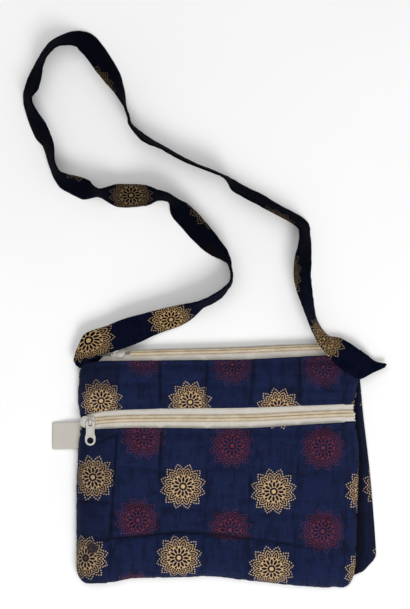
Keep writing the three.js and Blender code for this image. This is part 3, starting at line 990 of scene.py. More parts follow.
@dataclass(frozen=True)
class Enamel:
    """Off-white enamel on die-cast metal, a little dulled and rubbed, with painted shade on the pull's sunk
    panel.
    """

    name: str
    light: Rgb = (186, 183, 176)
    worn: Rgb = (176, 172, 160)
    shaded: Rgb = (158, 155, 148)

    def build(self) -> Material:
        """Makes the material.

        Returns:
            The material.
        """
        material, graph, shader = new_material(self.name)
        where = graph.where()
        cloud, peel = graph.noise(where, 260.0, 5.0), graph.noise(where, 1800.0, 2.0)
        base = graph.mix(graph.span(cloud, 0.5, 0.8, 0.0, 0.6), self.light, self.worn)
        # painted shade: the pull's sunk panel is darkened towards shaded
        sunk = graph.span(graph.marked("sunk"), 0.0, 1.0, 0.0, 0.8)
        graph.fill(shader, {
            "Base Color": graph.mix(sunk, base, self.shaded),
            "Roughness": graph.span(cloud, 0.3, 0.7, 0.3, 0.46),
            "Normal": graph.bump(peel, 0.08, 0.1),
            "Coat Weight": 0.25,
            "Coat Roughness": 0.2,
        })
        return material


@dataclass(frozen=True)
class Relief:
    """What wear has put into the front: creases with the cloth swelling over them, and fine puckers, with
    painted shade along the creases and over the front's left column.
    """

    groove: float = 1.7
    overhang: float = 0.9
    pucker: float = 0.24
    beyond: float = 4.0
    lit: Pair = (9, 13)
    soft: float = 1.5
    spread: float = 2.8
    full: float = 1.5
    swell: Pair = (0.7, 0.6)
    hang: Pair = (1.6, 1.8)
    lean: Pair = (0.09, 30)
    pocket_shade: tuple[float, float, float, float, float] = (0.44, -95, -89, 34, 40)
    yoke_shade: tuple[float, float, float, float, float] = (0.58, -95, -80, 58, 76)

    def painted_shade(self, points: Array) -> Array:
        """How much painted shade each point gets, from 0 to 1: more the nearer it lies to a crease, and over
        the left column of the pocket and the yoke.

        Args:
            points: Points on the front.

        Returns:
            One share a point.
        """
        x, y = points[:, 0], points[:, 1]
        # painted shade: the left column of the pocket and of the yoke, darker because of how the light falls
        dark, x0, x1, y0, y1 = self.pocket_shade
        below = (1 - smoothstep(x + self.lean[0] * (self.lean[1] - y), x0, x1)) * (1 - smoothstep(y, y0, y1))
        found = dark * below
        dark, x0, x1, y0, y1 = self.yoke_shade
        found = found + dark * ((1 - smoothstep(x, x0, x1)) * smoothstep(y, y0, y1))
        # painted shade along each crease, wider on the side that swells
        for x0, y0, x1, y1, depth, _, wide in CREASES.rows:
            run = np.array([x1 - x0, y1 - y0])
            share = np.clip(((x - x0) * run[0] + (y - y0) * run[1]) / (run @ run), 0, 1)
            away = np.hypot(x - x0 - share * run[0], y - y0 - share * run[1])
            left = (y - y0) * run[0] > (x - x0) * run[1]
            soft = np.where(left, max(self.soft, wide - self.spread), self.soft)
            found = np.maximum(found, min(1.0, depth / self.full) * bell(away, soft))
        return found

    def moved(self, points: Array) -> Array:
        """The points with creases and puckers.

        Args:
            points: Points on the front's outer face, in millimetres.

        Returns:
            The moved points.
        """
        x, y = points[:, 0], points[:, 1]
        down, up, shift = np.zeros(len(x)), np.zeros(len(x)), np.zeros((len(x), 2))
        for x0, y0, x1, y1, depth, lift, wide in CREASES.rows:
            run = np.array([x1 - x0, y1 - y0])
            length = np.linalg.norm(run)
            heading = run / length
            left = np.array([-heading[1], heading[0]])
            along = (x - x0) * heading[0] + (y - y0) * heading[1]
            fade = bell(np.maximum(np.maximum(-along, along - length), 0), self.beyond)
            aside = (x - x0) * left[0] + (y - y0) * left[1]
            down = np.maximum(down, depth * fade * bell(aside, self.groove))
            up = np.maximum(up, lift * fade * bell(aside - wide * self.swell[0], wide * self.swell[1]))
            pull = self.overhang * lift * fade * bell(aside - self.hang[0], self.hang[1])
            shift = np.where((pull > np.linalg.norm(shift, axis=1))[:, None], -pull[:, None] * left, shift)
        inside = smoothstep(points[:, 2], *self.lit)
        wave = np.array([self._pucker(Vector(point)) for point in points])
        made = points.copy()
        made[:, :2] += shift * inside[:, None]
        made[:, 2] += (up - down + wave) * inside
        return made

    def _pucker(self, at: Vector) -> float:
        """The height of the fine upright puckers at a point.

        Args:
            at: The point.

        Returns:
            The height.
        """
        fine, broad, soft, gather = (
            noise.noise(Vector((at.x / wide, at.y / high, layer)))
            for wide, high, layer in ((2.6, 17, 3.1), (7, 26, 8.7), (24, 30, 1.3), (30, 18, 5.9))
        )
        return self.pucker * (fine * (0.6 + 0.8 * max(0.0, gather)) + 1.1 * broad + 1.6 * soft)


RELIEF = Relief()


@dataclass(frozen=True)
class Stitching:
    """Rows of single stitches, in millimetres."""

    pitch: float = 3.0
    length: float = 1.9
    thick: float = 0.5
    proud: float = 0.05
    reach: float = 0.6

    def spots(self, line: Array, ups: Array) -> list[Matrix]:
        """Places for the stitches along a line.

        Args:
            line: The line's points.
            ups: The surface's normals there.

        Returns:
            One matrix a stitch, in metres.
        """
        travel = travelled(line)
        size = Matrix.Diagonal((self.length / 2, self.thick / 2, self.thick / 2, 1))
        found = []
        for at in np.arange(self.pitch / 2, travel[-1], self.pitch):
            back, where, ahead = (
                Vector(read_along(travel, line, at + step)) for step in (-self.reach, 0, self.reach)
            )
            heading = (ahead - back).normalized()
            side = Vector(read_along(travel, ups, at)).normalized().cross(heading).normalized()
            up = heading.cross(side)
            turn = Matrix((heading, side, up)).transposed().to_4x4()
            found.append(Matrix.Scale(MM, 4) @ Matrix.Translation(where + up * self.proud) @ turn @ size)
        return found

    def build(self, name: str, spots: Iterable[Matrix], material: Material, slot: Slot) -> Piece:
        """One object with a stitch at every place.

        Args:
            name: Its name.
            spots: The places.
            material: The thread.
            slot: Its finish.

        Returns:
            The object.
        """
        bm = bmesh.new()
        bmesh.ops.create_icosphere(bm, subdivisions=1, radius=1)
        one = bpy.data.meshes.new("one stitch")
        bm.to_mesh(one)
        bm.clear()
        for spot in spots:
            stitch = one.copy()
            stitch.transform(spot)
            bm.from_mesh(stitch)
            bpy.data.meshes.remove(stitch)
        bpy.data.meshes.remove(one)
        return dress(add_object(name, bm), material, slot)


@dataclass(frozen=True)
class Swelling:
    """How the wadding swells the cloth between its stitch lines, by a cloth simulation."""

    pressure: float = 3.2
    spare: float = 0.035
    frames: int = 22
    cap: float = 2.6
    scale: float = 10.0

    def run(self, piece: Piece, held: Array, calm: Array) -> None:
        """Simulates the piece and keeps the result.

        Args:
            piece: The cloth, a single layer.
            held: 1 for each point that stitches hold, else 0.
            calm: A share for each point that its movement is cut to.
        """
        rest = coordinates(piece.data)
        place(piece.data, rest * self.scale)
        group = piece.vertex_groups.new(name="stitched")
        for index in np.flatnonzero(held > 0):
            group.add([int(index)], float(held[index]), "REPLACE")
        cloth = piece.modifiers.new("cloth", "CLOTH")
        cotton = {
            "quality": 6, "mass": 0.2, "tension_stiffness": 18, "compression_stiffness": 18,
            "shear_stiffness": 8, "bending_stiffness": 0.35, "air_damping": 2.0,
            "vertex_group_mass": group.name, "shrink_min": -self.spare,
            "use_pressure": True, "uniform_pressure_force": self.pressure,
        }
        for name, value in cotton.items():
            setattr(cloth.settings, name, value)
        cloth.settings.effector_weights.gravity = 0
        cloth.collision_settings.use_collision = False
        scene = bpy.context.scene
        for step in range(1, self.frames + 1):
            scene.frame_set(step)
        graph = bpy.context.evaluated_depsgraph_get()
        swollen = coordinates(piece.evaluated_get(graph).data) / self.scale
        piece.modifiers.clear()
        piece.vertex_groups.clear()
        scene.frame_set(1)
        move = np.nan_to_num(swollen - rest)
        far = np.linalg.norm(move, axis=1, keepdims=True)
        most = self.cap * MM
        kept = most * np.tanh(far / most) / np.maximum(far, TINY)
        place(piece.data, rest + move * kept * calm[:, None])


@dataclass
class FrontPanel:
    """A quilted panel of the bag's front.

    Attributes:
        first: The crossing line at its foot.
        upright_span: The heights of its upright quilting lines' tops and feet.
        levels: The names of its level quilting lines, from the foot up.
        heights: The rough heights of the stretches between those lines.
        tuck: How much cloth the lowest level line's fold hides, from tuck_from to tuck_to.
        gather: The share that the quilting has drawn the print in to.
    """

    name: str
    node: str
    first: int
    uprights: Rows
    upright_span: Pair
    levels: tuple[str, ...]
    heights: tuple[float, ...]
    motifs: Rows
    finish: PrintedCotton
    thread: Material
    widths: tuple[float, ...] = (26, 39, 42, 40, 42, 42)
    wall: float = 2.6
    step: float = 2.25
    hem: float = 1.25
    hem_turn: tuple[float, ...] = (40, 80, 120, 160)
    hem_under: float = 4.0
    seam_turn: tuple[float, ...] = (25, 50, 75)
    seam_drop: float = 1.3
    topstitch: float = 3.6
    pressed: float = 1.35
    # The painted shade along the upright and the level quilting lines
    sewn: Pair = (0.72, 0.36)
    cloth: float = 0.9
    tuck: float = 0.0
    tuck_from: Pair = (-97, -89)
    tuck_to: Pair = (66, 78)
    gather: float = 0.975
    hollow: tuple[float, float, float] = (-113.6, 30, 1.4)
    hollow_half: Pair = (9, 15)
    hollow_lit: Pair = (8, 13)

    @property
    def seamed(self) -> bool:
        """True if the foot is a seam that the cloth rolls down to, and not a hem."""
        return self.first == 0

    def build(self) -> list[Piece]:
        """Makes the panel and its stitches.

        Returns:
            Both of them.
        """
        inner, columns, rows = self._inner()
        normals = normals_of(inner)
        outer = inner + normals * self.wall
        # sewn holds the painted shade along the quilting lines
        pressed, sewn, held = (np.zeros(outer.shape[:2]) for _ in range(3))
        for axis, lines in enumerate((columns, rows)):
            for line in lines:
                near = bell(np.abs(np.arange(outer.shape[axis]) - line), 0.9)
                near = np.expand_dims(near, 1 - axis)
                pressed, sewn = np.maximum(pressed, near), np.maximum(sewn, near * self.sewn[axis])
        uneven = np.array([noise.noise(Vector(spot) / 13) for spot in outer.reshape(-1, 3)])
        sewn = sewn * np.clip(0.7 + 0.9 * uneven.reshape(sewn.shape), 0.15, 1.2)
        outer = outer - normals * (self.pressed * pressed)[..., None]
        held[columns, :] = 1
        held[:, rows] = 1
        points, held, side, foot, top = self._turned(outer, normals, held)
        flat = flat_of(points)
        low = foot + rows[0]
        flat[:, :low, 1] -= self._hidden(points[:, :low, 0])
        piece, order = cloth_grid(self.name, points, flat)
        # painted shade at half strength on the turned seams and hems, kept as a mark
        sewn = np.pad(sewn, ((side, side), (foot, top)), constant_values=0.5)
        mark(piece.data, "painted_shade", sewn.reshape(-1)[order])
        self._swell(piece, held.reshape(-1)[order])
        modified(piece, "SUBSURF", levels=1, render_levels=1, boundary_smooth="PRESERVE_CORNERS")
        spots = coordinates(piece.data) / MM
        # the painted shade along the creases and over the left column joins it
        sewn = np.zeros(len(spots), np.float32)
        piece.data.attributes["painted_shade"].data.foreach_get("value", sewn)
        mark(piece.data, "painted_shade", np.maximum(sewn, RELIEF.painted_shade(spots)))
        place(piece.data, RELIEF.moved(spots) * MM)
        print_motifs(piece, self._tucked(), self.gather)
        thicken(piece, self.cloth)
        dress(piece, self.finish.build(), Slot.QUILT, self.node)
        return [piece, self._stitch(outer, normals, columns, rows)]

    def _tucked(self) -> Rows:
        """The motifs' centres, those below the lowest level line moved by the cloth that its fold hides.

        Returns:
            The motifs, moved.
        """
        line = LEVELS.read("x", self.levels[0], self.motifs.column("x"))
        rows = tuple(
            (x, y - float(self._hidden(x)) if y < limit else y, ink)
            for (x, y, ink), limit in zip(self.motifs.rows, line)
        )
        return Rows(self.motifs.columns, rows)

    def _hidden(self, x: Numbers) -> Array:
        """How much cloth the lowest level line's fold hides, between the fold's two ends."""
        return self.tuck * plateau(x, self.tuck_from, self.tuck_to)

    def _inner(self) -> tuple[Array, list[int], list[int]]:
        """The inner face's grid, and which of its columns and rows are stitched.

        Returns:
            The points, the columns and the rows.
        """
        roll, edge = SKIN.roll, self.topstitch
        columns, upright = self._spread([roll, *self.widths, roll], (True, True))
        heights = [roll, *self.heights] if self.seamed else [edge, *self.heights]
        if not self.seamed:
            heights[1] -= edge
        heights[-1] -= edge
        rows, level = self._spread([*heights, edge], (self.seamed, False))
        rough = (np.linspace(-120, 120, len(columns)), np.linspace(-100, 100, len(rows)))
        x, y = np.meshgrid(*rough, indexing="ij")
        for _ in range(4):
            y = self._between(self._row_keys(x), rows, 1)
            x = self._between(self._column_keys(y), columns, 0)
        left, right = SKIN.sides(y)
        u = np.clip((x - left) / (right - left), 0, 1)
        lines = SKIN.lines(u)
        v = self.first + (y - lines[self.first]) / (lines[self.first + 1] - lines[self.first])
        points = SKIN.points(u, np.clip(v, self.first, self.first + 1))
        return points, upright[2:8], level[2:-1] if self.seamed else level[1:-1]

    def _spread(self, sizes: Sequence[float], rolled: tuple[bool, bool]) -> tuple[list, list[int]]:
        """Grid lines between keys: each a key's number and a share of the way to the next.

        Args:
            sizes: The distances between the keys.
            rolled: Whether the first and the last stretch are rounded edges.

        Returns:
            The grid lines, and the grid line that each key falls on.
        """
        found: list[tuple[int, float]] = []
        at: list[int] = []
        for key, size in enumerate(sizes):
            count = max(2, round(size / self.step))
            at.append(len(found))
            for k in range(count):
                share = k / count
                if key == 0 and rolled[0]:
                    share = 1 - math.cos(math.pi / 2 * share)
                if key == len(sizes) - 1 and rolled[1]:
                    share = math.sin(math.pi / 2 * share)
                found.append((key, share))
        at.append(len(found))
        found.append((len(sizes) - 1, 1.0))
        return found, at

    def _between(self, keys: Array, lines: list[tuple[int, float]], axis: int) -> Array:
        """Places of the grid lines between the keys' places.

        Args:
            keys: The keys' places.
            lines: The grid lines.
            axis: The grid's axis that they count.

        Returns:
            The places.
        """
        share = np.expand_dims(np.array([line[1] for line in lines]), 1 - axis)
        low, high = (
            np.stack([np.take(keys[k + step], at, axis) for at, (k, _) in enumerate(lines)], axis)
            for step in (0, 1)
        )
        return lerp(low, high, share)

    def _column_keys(self, y: Array) -> Array:
        """The x of each upright key at each y: seams, rolled edges and quilting lines.

        Args:
            y: Heights on the page.

        Returns:
            One layer a key.
        """
        left, right = SKIN.sides(y)
        top, foot = self.upright_span
        share = (y - foot) / (top - foot)
        lines = [lerp(row[1], row[0], share) for row in self.uprights.rows]
        return np.stack([left, left + SKIN.roll, *lines, right - SKIN.roll, right])

    def _row_keys(self, x: Array) -> Array:
        """The y of each level key at each x: seam or hem, rolled edge and quilting lines.

        Args:
            x: Places along the bag.

        Returns:
            One layer a key.
        """
        low = FRONT_LINES.read("x", CROSSING[self.first], x) + (SKIN.seam_inset if self.seamed else self.hem)
        high = FRONT_LINES.read("x", CROSSING[self.first + 1], x) - self.hem
        lines = [LEVELS.read("x", name, x) for name in self.levels]
        second = low + (SKIN.roll if self.seamed else self.topstitch)
        return np.stack([low, second, *lines, high - self.topstitch, high])

    def _turned(self, outer: Array, normals: Array, held: Array) -> tuple:
        """Turns the cloth in at the seams and under at the hems.

        Args:
            outer: The outer face's points.
            normals: Its normals.
            held: Which of its points are stitched.

        Returns:
            The longer grid, its held points, and how many lines it gained at each side, foot and top.
        """
        left, right = (self._turned_in(outer[k], normals[k]) for k in (0, -1))
        side = len(left)
        points = np.concatenate([np.stack(left[::-1]), outer, np.stack(right)])
        ups = np.pad(normals, ((side, side), (0, 0), (0, 0)), mode="edge")
        top = self._rolled_hem(points, ups, -1)
        if self.seamed:
            foot = np.stack(self._turned_in(points[:, 0], ups[:, 0])[::-1], 1)
        else:
            foot = self._rolled_hem(points, ups, 0)[:, ::-1]
        gained = (foot.shape[1], top.shape[1])
        held = np.pad(held, ((side, side), gained), constant_values=1)
        return np.concatenate([foot, points, top], 1), held, side, *gained

    def _turned_in(self, edge: Array, out: Array) -> list[Array]:
        """Rows of points that turn in to a seam from an edge, nearest first.

        Args:
            edge: The edge's points.
            out: The normals there.

        Returns:
            The rows.
        """
        down = np.array([0, 0, -1.0])
        return [
            edge + out * self.wall * (math.cos(a) - 1) + down * self.seam_drop * math.sin(a)
            for a in map(math.radians, self.seam_turn)
        ]

    def _rolled_hem(self, points: Array, ups: Array, edge: int) -> Array:
        """The rows of a hem rolled under, nearest the edge first.

        Args:
            points: The panel's points.
            ups: Its normals.
            edge: 0 for its foot, -1 for its top.

        Returns:
            The rows.
        """
        out = unit(points[:, edge] - points[:, 1 if edge == 0 else -2])
        up, half = ups[:, edge], self.hem
        middle = points[:, edge] - up * half
        turns = map(math.radians, self.hem_turn)
        made = [middle + (up * math.cos(a) + out * math.sin(a)) * half for a in turns]
        made.append(middle - up * half - out * self.hem_under)
        return np.stack(made, 1)

    def _swell(self, piece: Piece, held: Array) -> None:
        """Swells the cloth between its stitches, and keeps it low under the zip's pull.

        Args:
            piece: The cloth.
            held: 1 for each stitched point.
        """
        where = coordinates(piece.data) / MM
        (x, y, depth), (wide, high) = self.hollow, self.hollow_half
        under = np.exp(-(((where[:, 0] - x) / wide) ** 4) - (((where[:, 1] - y) / high) ** 4))
        moved = where.copy()
        moved[:, 2] -= depth * under * smoothstep(where[:, 2], *self.hollow_lit)
        place(piece.data, moved * MM)
        Swelling().run(piece, held, 1 - under)

    def _stitch(self, outer: Array, normals: Array, columns: list[int], rows: list[int]) -> Piece:
        """Sews the quilting lines.

        Args:
            outer: The panel's points.
            normals: Its normals.
            columns: The stitched columns.
            rows: The stitched rows.

        Returns:
            The stitches.
        """
        sewing = Stitching()
        lines = [(outer[c, 2:-1], normals[c, 2:-1]) for c in columns]
        lines += [(outer[2:-2, r], normals[2:-2, r]) for r in rows]
        spots = [spot for line, ups in lines for spot in sewing.spots(RELIEF.moved(line), ups)]
        return sewing.build(f"{self.name}_stitches", spots, self.thread, Slot.QUILT)


@dataclass
class BackPanel:
    """The quilted back: flat where it rests, with a doubled fold beyond the front at the right."""

    finish: Material
    wall: float = 2.4
    rim_rise: float = 1.1
    inset: float = 1.0
    split: float = 0.8
    lip: float = 6.0
    fold: float = 1.7
    top: float = -3.5
    edge: float = 0.5
    edge_drop: float = 1.2
    edge_lift: float = 0.6
    rows: int = 84
    foot: float = 0.16
    quilt: Pair = (41.2, 39.6)
    quilt_at: Pair = (-90.9, 0.9)
    tag: Pair = (30.4, 12.2)
    blunt: float = 0.7
    fold_out: float = 0.6
    # Where the painted shade in the crevice beside the front's edge starts and ends
    crevice_from: Pair = (0.88, 0.97)
    crevice_to: Pair = (1.18, 1.66)

    def build(self) -> Piece:
        """Makes the back panel.

        Returns:
            The panel.
        """
        rolled = (1 - np.cos(np.linspace(0, math.pi / 2, 8))) * 0.06
        under = np.unique(np.concatenate([rolled, np.linspace(0, 1, 60)[1:] * 2]))
        count = len(under)
        u = np.concatenate([[0], under, [2], under[::-1], [0]])
        side = np.concatenate([[0.5], np.zeros(count), [0.5], np.ones(count), [0.5]])
        close, apart = np.linspace(0, self.foot, 22), np.linspace(self.foot, 1, self.rows)[1:]
        v = np.concatenate([[0], close, apart, [1]])
        u, v = np.meshgrid(u, v, indexing="ij")
        side = np.broadcast_to(side[:, None], u.shape).copy()
        side[:, [0, -1]] = 0.5
        low, high, right = self._faces(u, v)
        points = lerp(low, high, side[..., None])
        points[:, 0, 1] -= self.blunt
        points[:, -1, 1] += self.blunt
        points[[0, -1], :, 0] -= self.blunt
        points[count + 1, :, 0] += self.fold_out
        flat = points[..., :2].copy()
        flat[..., 0] = np.where(side < 0.5, 2 * right - points[..., 0], points[..., 0])
        piece, order = cloth_grid("back_panel_cotton", points, flat)
        # painted shade in the crevice where the back's fold meets the front's edge
        crevice_shade = np.where(side > 0.5, plateau(u, self.crevice_from, self.crevice_to), 0)
        mark(piece.data, "painted_shade", crevice_shade.reshape(-1)[order])
        close_up(piece.data, 0.02)
        print_motifs(piece, self._motifs())
        dress(piece, self.finish, Slot.QUILT, "back_panel")
        return piece

    def _outline(self, u: Array, v: Array) -> Array:
        """The panel's y between its bottom and its top edge.

        Args:
            u: Places across it, past 1 on the fold.
            v: Shares of the way up.

        Returns:
            The heights on the page.
        """
        x = lerp(SKIN.left, SKIN.right, np.minimum(u, 1))
        low = FRONT_LINES.read("x", "bottom", x) + self.inset
        return lerp(low, FRONT_LINES.read("x", "ridge", x) + self.top, v)

    def _faces(self, u: Array, v: Array) -> tuple[Array, Array, Array]:
        """The lower and the upper face's points, and the x of the fold's edge.

        Args:
            u: Places across it, past 1 on the fold.
            v: Shares of the way up.

        Returns:
            All three.
        """
        y, one = self._outline(u, v), np.ones_like(u)
        end = self._outline(one, v)
        left = LEFT_SIDE.read("y", "x", self._outline(0 * one, v)) + self.inset
        right = BACK_RIGHT.read("y", "x", end)
        split = np.minimum(RIGHT_SIDE.read("y", "x", end) + self.split, right - self.edge)
        x = np.where(u <= 1, lerp(left, split, u), lerp(split, right, u - 1))
        from_edge = np.minimum(x - left, y - self._outline(u, 0 * one))
        aside = np.abs(y - self.tag[0]) - self.tag[1]
        tag = np.where(x < 0, 1 - smoothstep(aside, 2, 10), 0)
        rim = (1 - smoothstep(from_edge, 2, self.lip * 2)) * (1 - tag)
        shoulder = 1 - smoothstep(split - x, 2, self.lip)
        beyond = right - split
        bulge = np.minimum(self.fold, beyond / 5) * np.sin(math.pi * np.clip(u - 1, 0, 1) ** 0.7)
        last = smoothstep(u, 1.8, 2) * np.minimum(1, beyond / 8)
        across, along = (
            np.mod(at - start + 0.5 * pitch, pitch) - 0.5 * pitch
            for at, start, pitch in zip((x, y), self.quilt_at, self.quilt)
        )
        groove = 0.7 * bell(across, 1.6) + 0.7 * bell(along, 1.6)
        dimple = 0.6 * bell(along, 1.8) * smoothstep(u, 1.02, 1.2)
        low = self.rim_rise * np.maximum(rim, last * self.edge_lift) + groove * 0.8
        crown = self.wall + self.rim_rise * np.maximum(rim, shoulder) + bulge - last * self.edge_drop
        return np.stack([x, y, low], -1), np.stack([x, y, crown - dimple], -1), right

    def _motifs(self) -> Rows:
        """Motifs at the fold where they show, and the same repeat over the rest.

        Returns:
            The motifs.
        """
        across, along = 81, 71
        gold = [(151.5, -15.3), (160.5, -80), (149.5, 62)]
        maroon = [(190, 20), (190, -52)]
        for column in range(1, 6):
            for row in range(-2, 3):
                gold.append((149.4 + across * column, -15.3 + along * row))
                maroon.append((190 + across * column, 20 + along * row))
        return printed(gold, maroon)


@dataclass(frozen=True)
class ZipLine:
    """Where one zip's teeth meet: from start to end across the front, at a share above its low line."""

    low: int
    share: float
    start: float
    end: float
    flat_to: float = 0.999

    def centre(self, count: int) -> tuple[Array, Array, Array]:
        """The meeting line.

        Args:
            count: How many points it has.

        Returns:
            Its points, the directions across it towards the bag's top, and the normals.
        """
        u = np.linspace(self.start, self.end, count)
        held = np.minimum(u, self.flat_to)
        v = np.full(count, self.low + self.share)
        strip = np.stack([SKIN.points(held, v - down) for down in (0.04, 0.02, 0)], 1)
        strip[..., 0] += ((u - held) * SKIN.width)[:, None]
        up = normals_of(strip)[:, 1]
        return strip[:, 2], unit(np.cross(up, np.gradient(strip[:, 2], axis=0))), up


def tube(name: str, points: Array, radius: float, sides: int = 0) -> Piece:
    """A thin round mesh along points in millimetres.

    Args:
        name: Its name.
        points: Its middle line.
        radius: Its radius.
        sides: How finely it is rounded.

    Returns:
        The tube.
    """
    curve = bpy.data.curves.new(name, "CURVE")
    curve.dimensions = "3D"
    curve.bevel_depth = radius * MM
    curve.bevel_resolution = sides
    curve.use_fill_caps = True
    spline = curve.splines.new("POLY")
    spline.points.add(len(points) - 1)
    ends = np.ones((len(points), 1))
    spline.points.foreach_set("co", np.concatenate([points * MM, ends], 1).ravel())
    holder = link(name, curve)
    bpy.context.view_layer.update()
    mesh = bpy.data.meshes.new_from_object(holder.evaluated_get(bpy.context.evaluated_depsgraph_get()))
    bpy.data.objects.remove(holder)
    mesh.name = name
    smooth(mesh)
    return link(name, mesh)


def joined(name: str, pieces: Sequence[Piece]) -> Piece:
    """Joins pieces into one object.

    Args:
        name: Its name.
        pieces: The pieces, which are removed.

    Returns:
        The object.
    """
    bm = bmesh.new()
    for piece in pieces:
        bm.from_mesh(piece.data)
        bpy.data.objects.remove(piece)
    return add_object(name, bm)


@dataclass
class ZipCoil:
    """The interlocked coils of a zip, their sewing and the line where they meet."""

    name: str
    node: str
    line: ZipLine
    nylon: Material
    tan: Material
    tan_line: Material
    pitch: float = 1.3
    tooth: float = 2.5
    height: float = 1.15
    wire: float = 0.4
    sewing: tuple[float, ...] = (-3.0, 3.0)
    drop: float = 0.8
    ridge: float = 0.5

    def build(self) -> list[Piece]:
        """Makes the coils, their meeting line and their sewing.

        Returns:
            The three pieces.
        """
        coils = joined(f"{self.name}_coils", [self._coil(-1), self._coil(1)])
        dress(coils, self.nylon, Slot.COIL, self.node)
        centre, across, up = self.line.centre(240)
        crest = centre + up * (self.height - self.drop + 0.1)
        ridge = tube(f"{self.name}_meeting_line", crest, self.ridge, 1)
        dress(ridge, self.tan_line, Slot.COIL)
        sewing = Stitching(pitch=2.1, length=1.4, thick=1.05, proud=0.2)
        spots: list[Matrix] = []
        for aside in self.sewing:
            spots += sewing.spots(centre + across * aside + up * (0.55 - self.drop), up)
        return [coils, ridge, sewing.build(f"{self.name}_coil_sewing", spots, self.tan, Slot.COIL)]

    def _coil(self, side: int) -> Piece:
        """One coil: a flattened spiral whose heads reach over the meeting line.

        Args:
            side: -1 below the line, 1 above it.

        Returns:
            The coil.
        """
        rows = self.line.centre(600)
        travel = travelled(rows[0])
        turns = travel[-1] / self.pitch
        angle = np.linspace(0, turns * math.tau, int(turns * 8)) + (math.pi if side > 0 else 0)
        at = np.linspace(0, travel[-1], len(angle))
        centre, across, up = (read_along(travel, row, at) for row in rows)
        out = side * (self.tooth / 2 - 0.3 + self.tooth / 2 * np.cos(angle))
        rise = self.height / 2 * (1 + np.sin(angle)) - self.drop + self.wire / 2
        return tube("coil", centre + across * out[:, None] + up * rise[:, None], self.wire)


@dataclass
class ZipTape:
    """One woven tape of a zip, from under a hem to beside the meeting line.

    Attributes:
        reach: How far it goes to each side of the line, in millimetres, from the foot up.
        ends: How far past the coil it runs at the left and the right, in millimetres.
        ragged: How far its cut end frays.
    """

    name: str
    node: str
    line: ZipLine
    reach: Pair
    ends: Pair
    material: Material
    below: float = 0.8
    thick: float = 0.7
    columns: int = 220
    rows: int = 10
    ragged: float = 0.0

    def build(self) -> Piece:
        """Makes the tape.

        Returns:
            The tape.
        """
        wide, flat_to = SKIN.width, self.line.flat_to
        start, end = self.line.start - self.ends[0] / wide, self.line.end + self.ends[1] / wide
        u, across = np.meshgrid(
            np.linspace(start, end, self.columns), np.linspace(*self.reach, self.rows), indexing="ij"
        )
        if self.ragged:
            fray = np.array([noise.noise(Vector((row * 0.9, 2.3, 0.7))) for row in range(self.rows)])
            u[-1] += fray * self.ragged / wide
            u[-2] += fray * self.ragged * 0.4 / wide
        middle = SKIN.line_y(u, np.full_like(u, self.line.low + self.line.share))
        held = np.clip(u, 0.001, flat_to)
        across = across * lerp(1.0, 0.5, smoothstep(u, flat_to - 0.012, flat_to + 0.002))
        points = SKIN.at(held, middle + across)
        points[..., 0] += np.maximum(u - held, 0) * wide
        wave = 0.16 * np.sin(u * 61 + across * 0.2) + 0.12 * np.sin(u * 137)
        points = points + normals_of(points) * (wave - self.below)[..., None]
        piece, _ = cloth_grid(self.name, points, np.stack([u * wide, across], -1))
        dress(thicken(piece, self.thick, 0.0), self.material, Slot.TAPE, self.node)
        length = (end - start) * wide * MM
        (self.reach[1] - self.reach[0]) * MM
        return piece


@dataclass
class ZipStay:
    """A strip of cotton inside an end of the front zip, between the two hems, down to the side seam."""

    name: str
    material: Material
    seam: float
    inner: float
    below: float = 1.6
    thick: float = 0.4
    under: Pair = (0.98, 2.06)

    def build(self) -> Piece:
        """Makes the strip.

        Returns:
            The strip.
        """
        across = lerp(self.inner, self.seam, np.sin(np.linspace(0, math.pi / 2, 12)))
        u, v = np.meshgrid(np.sort(across), np.linspace(*self.under, 14), indexing="ij")
        skin = SKIN.points(u, v)
        points = skin - normals_of(skin) * self.below
        flat = flat_of(points)
        piece, _ = cloth_grid(self.name, points, flat)
        print_motifs(piece, YOKE_MOTIFS)
        dress(thicken(piece, self.thick), self.material, Slot.QUILT)
        return piece


@dataclass
class BackTape:
    """The top zip's rear tape, from the ridge down to the back panel."""

    line: ZipLine
    material: Material
    thick: float = 0.7
    columns: int = 160
    past: Pair = (0.06, 0.01)
    profile: Rows = Rows(("row", "out", "z"), (
        (0, -11, 3.2), (1, -5.2, 3.2), (2, -1.6, 3.5), (3, -0.1, 4.1), (4, 0.7, 5), (5, 0.5, 6.3),
    ))

    def build(self) -> Piece:
        """Makes the tape.

        Returns:
            The tape.
        """
        u = np.linspace(self.line.start - self.past[0], self.line.end + self.past[1], self.columns)
        ridge = SKIN.points(u, np.full_like(u, 4.0))
        row = np.linspace(0, 5, 16)
        out, z = (self.profile.read("row", name, row) for name in ("out", "z"))
        points = np.repeat(ridge[:, None], len(row), 1)
        points[..., 1] += out
        points[..., 2] = np.minimum(z[None, :], points[..., 2] - 0.6)
        across = travelled(np.stack([out, z], 1))
        flat = np.stack(np.meshgrid(ridge[:, 0], across, indexing="ij"), -1)
        piece, _ = cloth_grid("top_tape_back_woven", points, flat)
        dress(thicken(piece, self.thick, 0.0), self.material, Slot.TAPE, "top_tape_back")
        return piece


def outline_plate(name: str, outline: Spots, low: float, high: float) -> Piece:
    """A plate raised from an outline in millimetres, between two heights.

    Args:
        name: Its name.
        outline: The outline.
        low: Its lower face.
        high: Its upper face.

    Returns:
        The plate.
    """
    bm = bmesh.new()
    verts = [bm.verts.new((x * MM, y * MM, low * MM)) for x, y in outline]
    face = bm.faces.new(verts)
    raised = bmesh.ops.extrude_face_region(bm, geom=[face])
    top = [item for item in raised["geom"] if isinstance(item, bmesh.types.BMVert)]
    bmesh.ops.translate(bm, verts=top, vec=(0, 0, (high - low) * MM))
    bmesh.ops.recalc_face_normals(bm, faces=bm.faces)
    return add_object(name, bm)


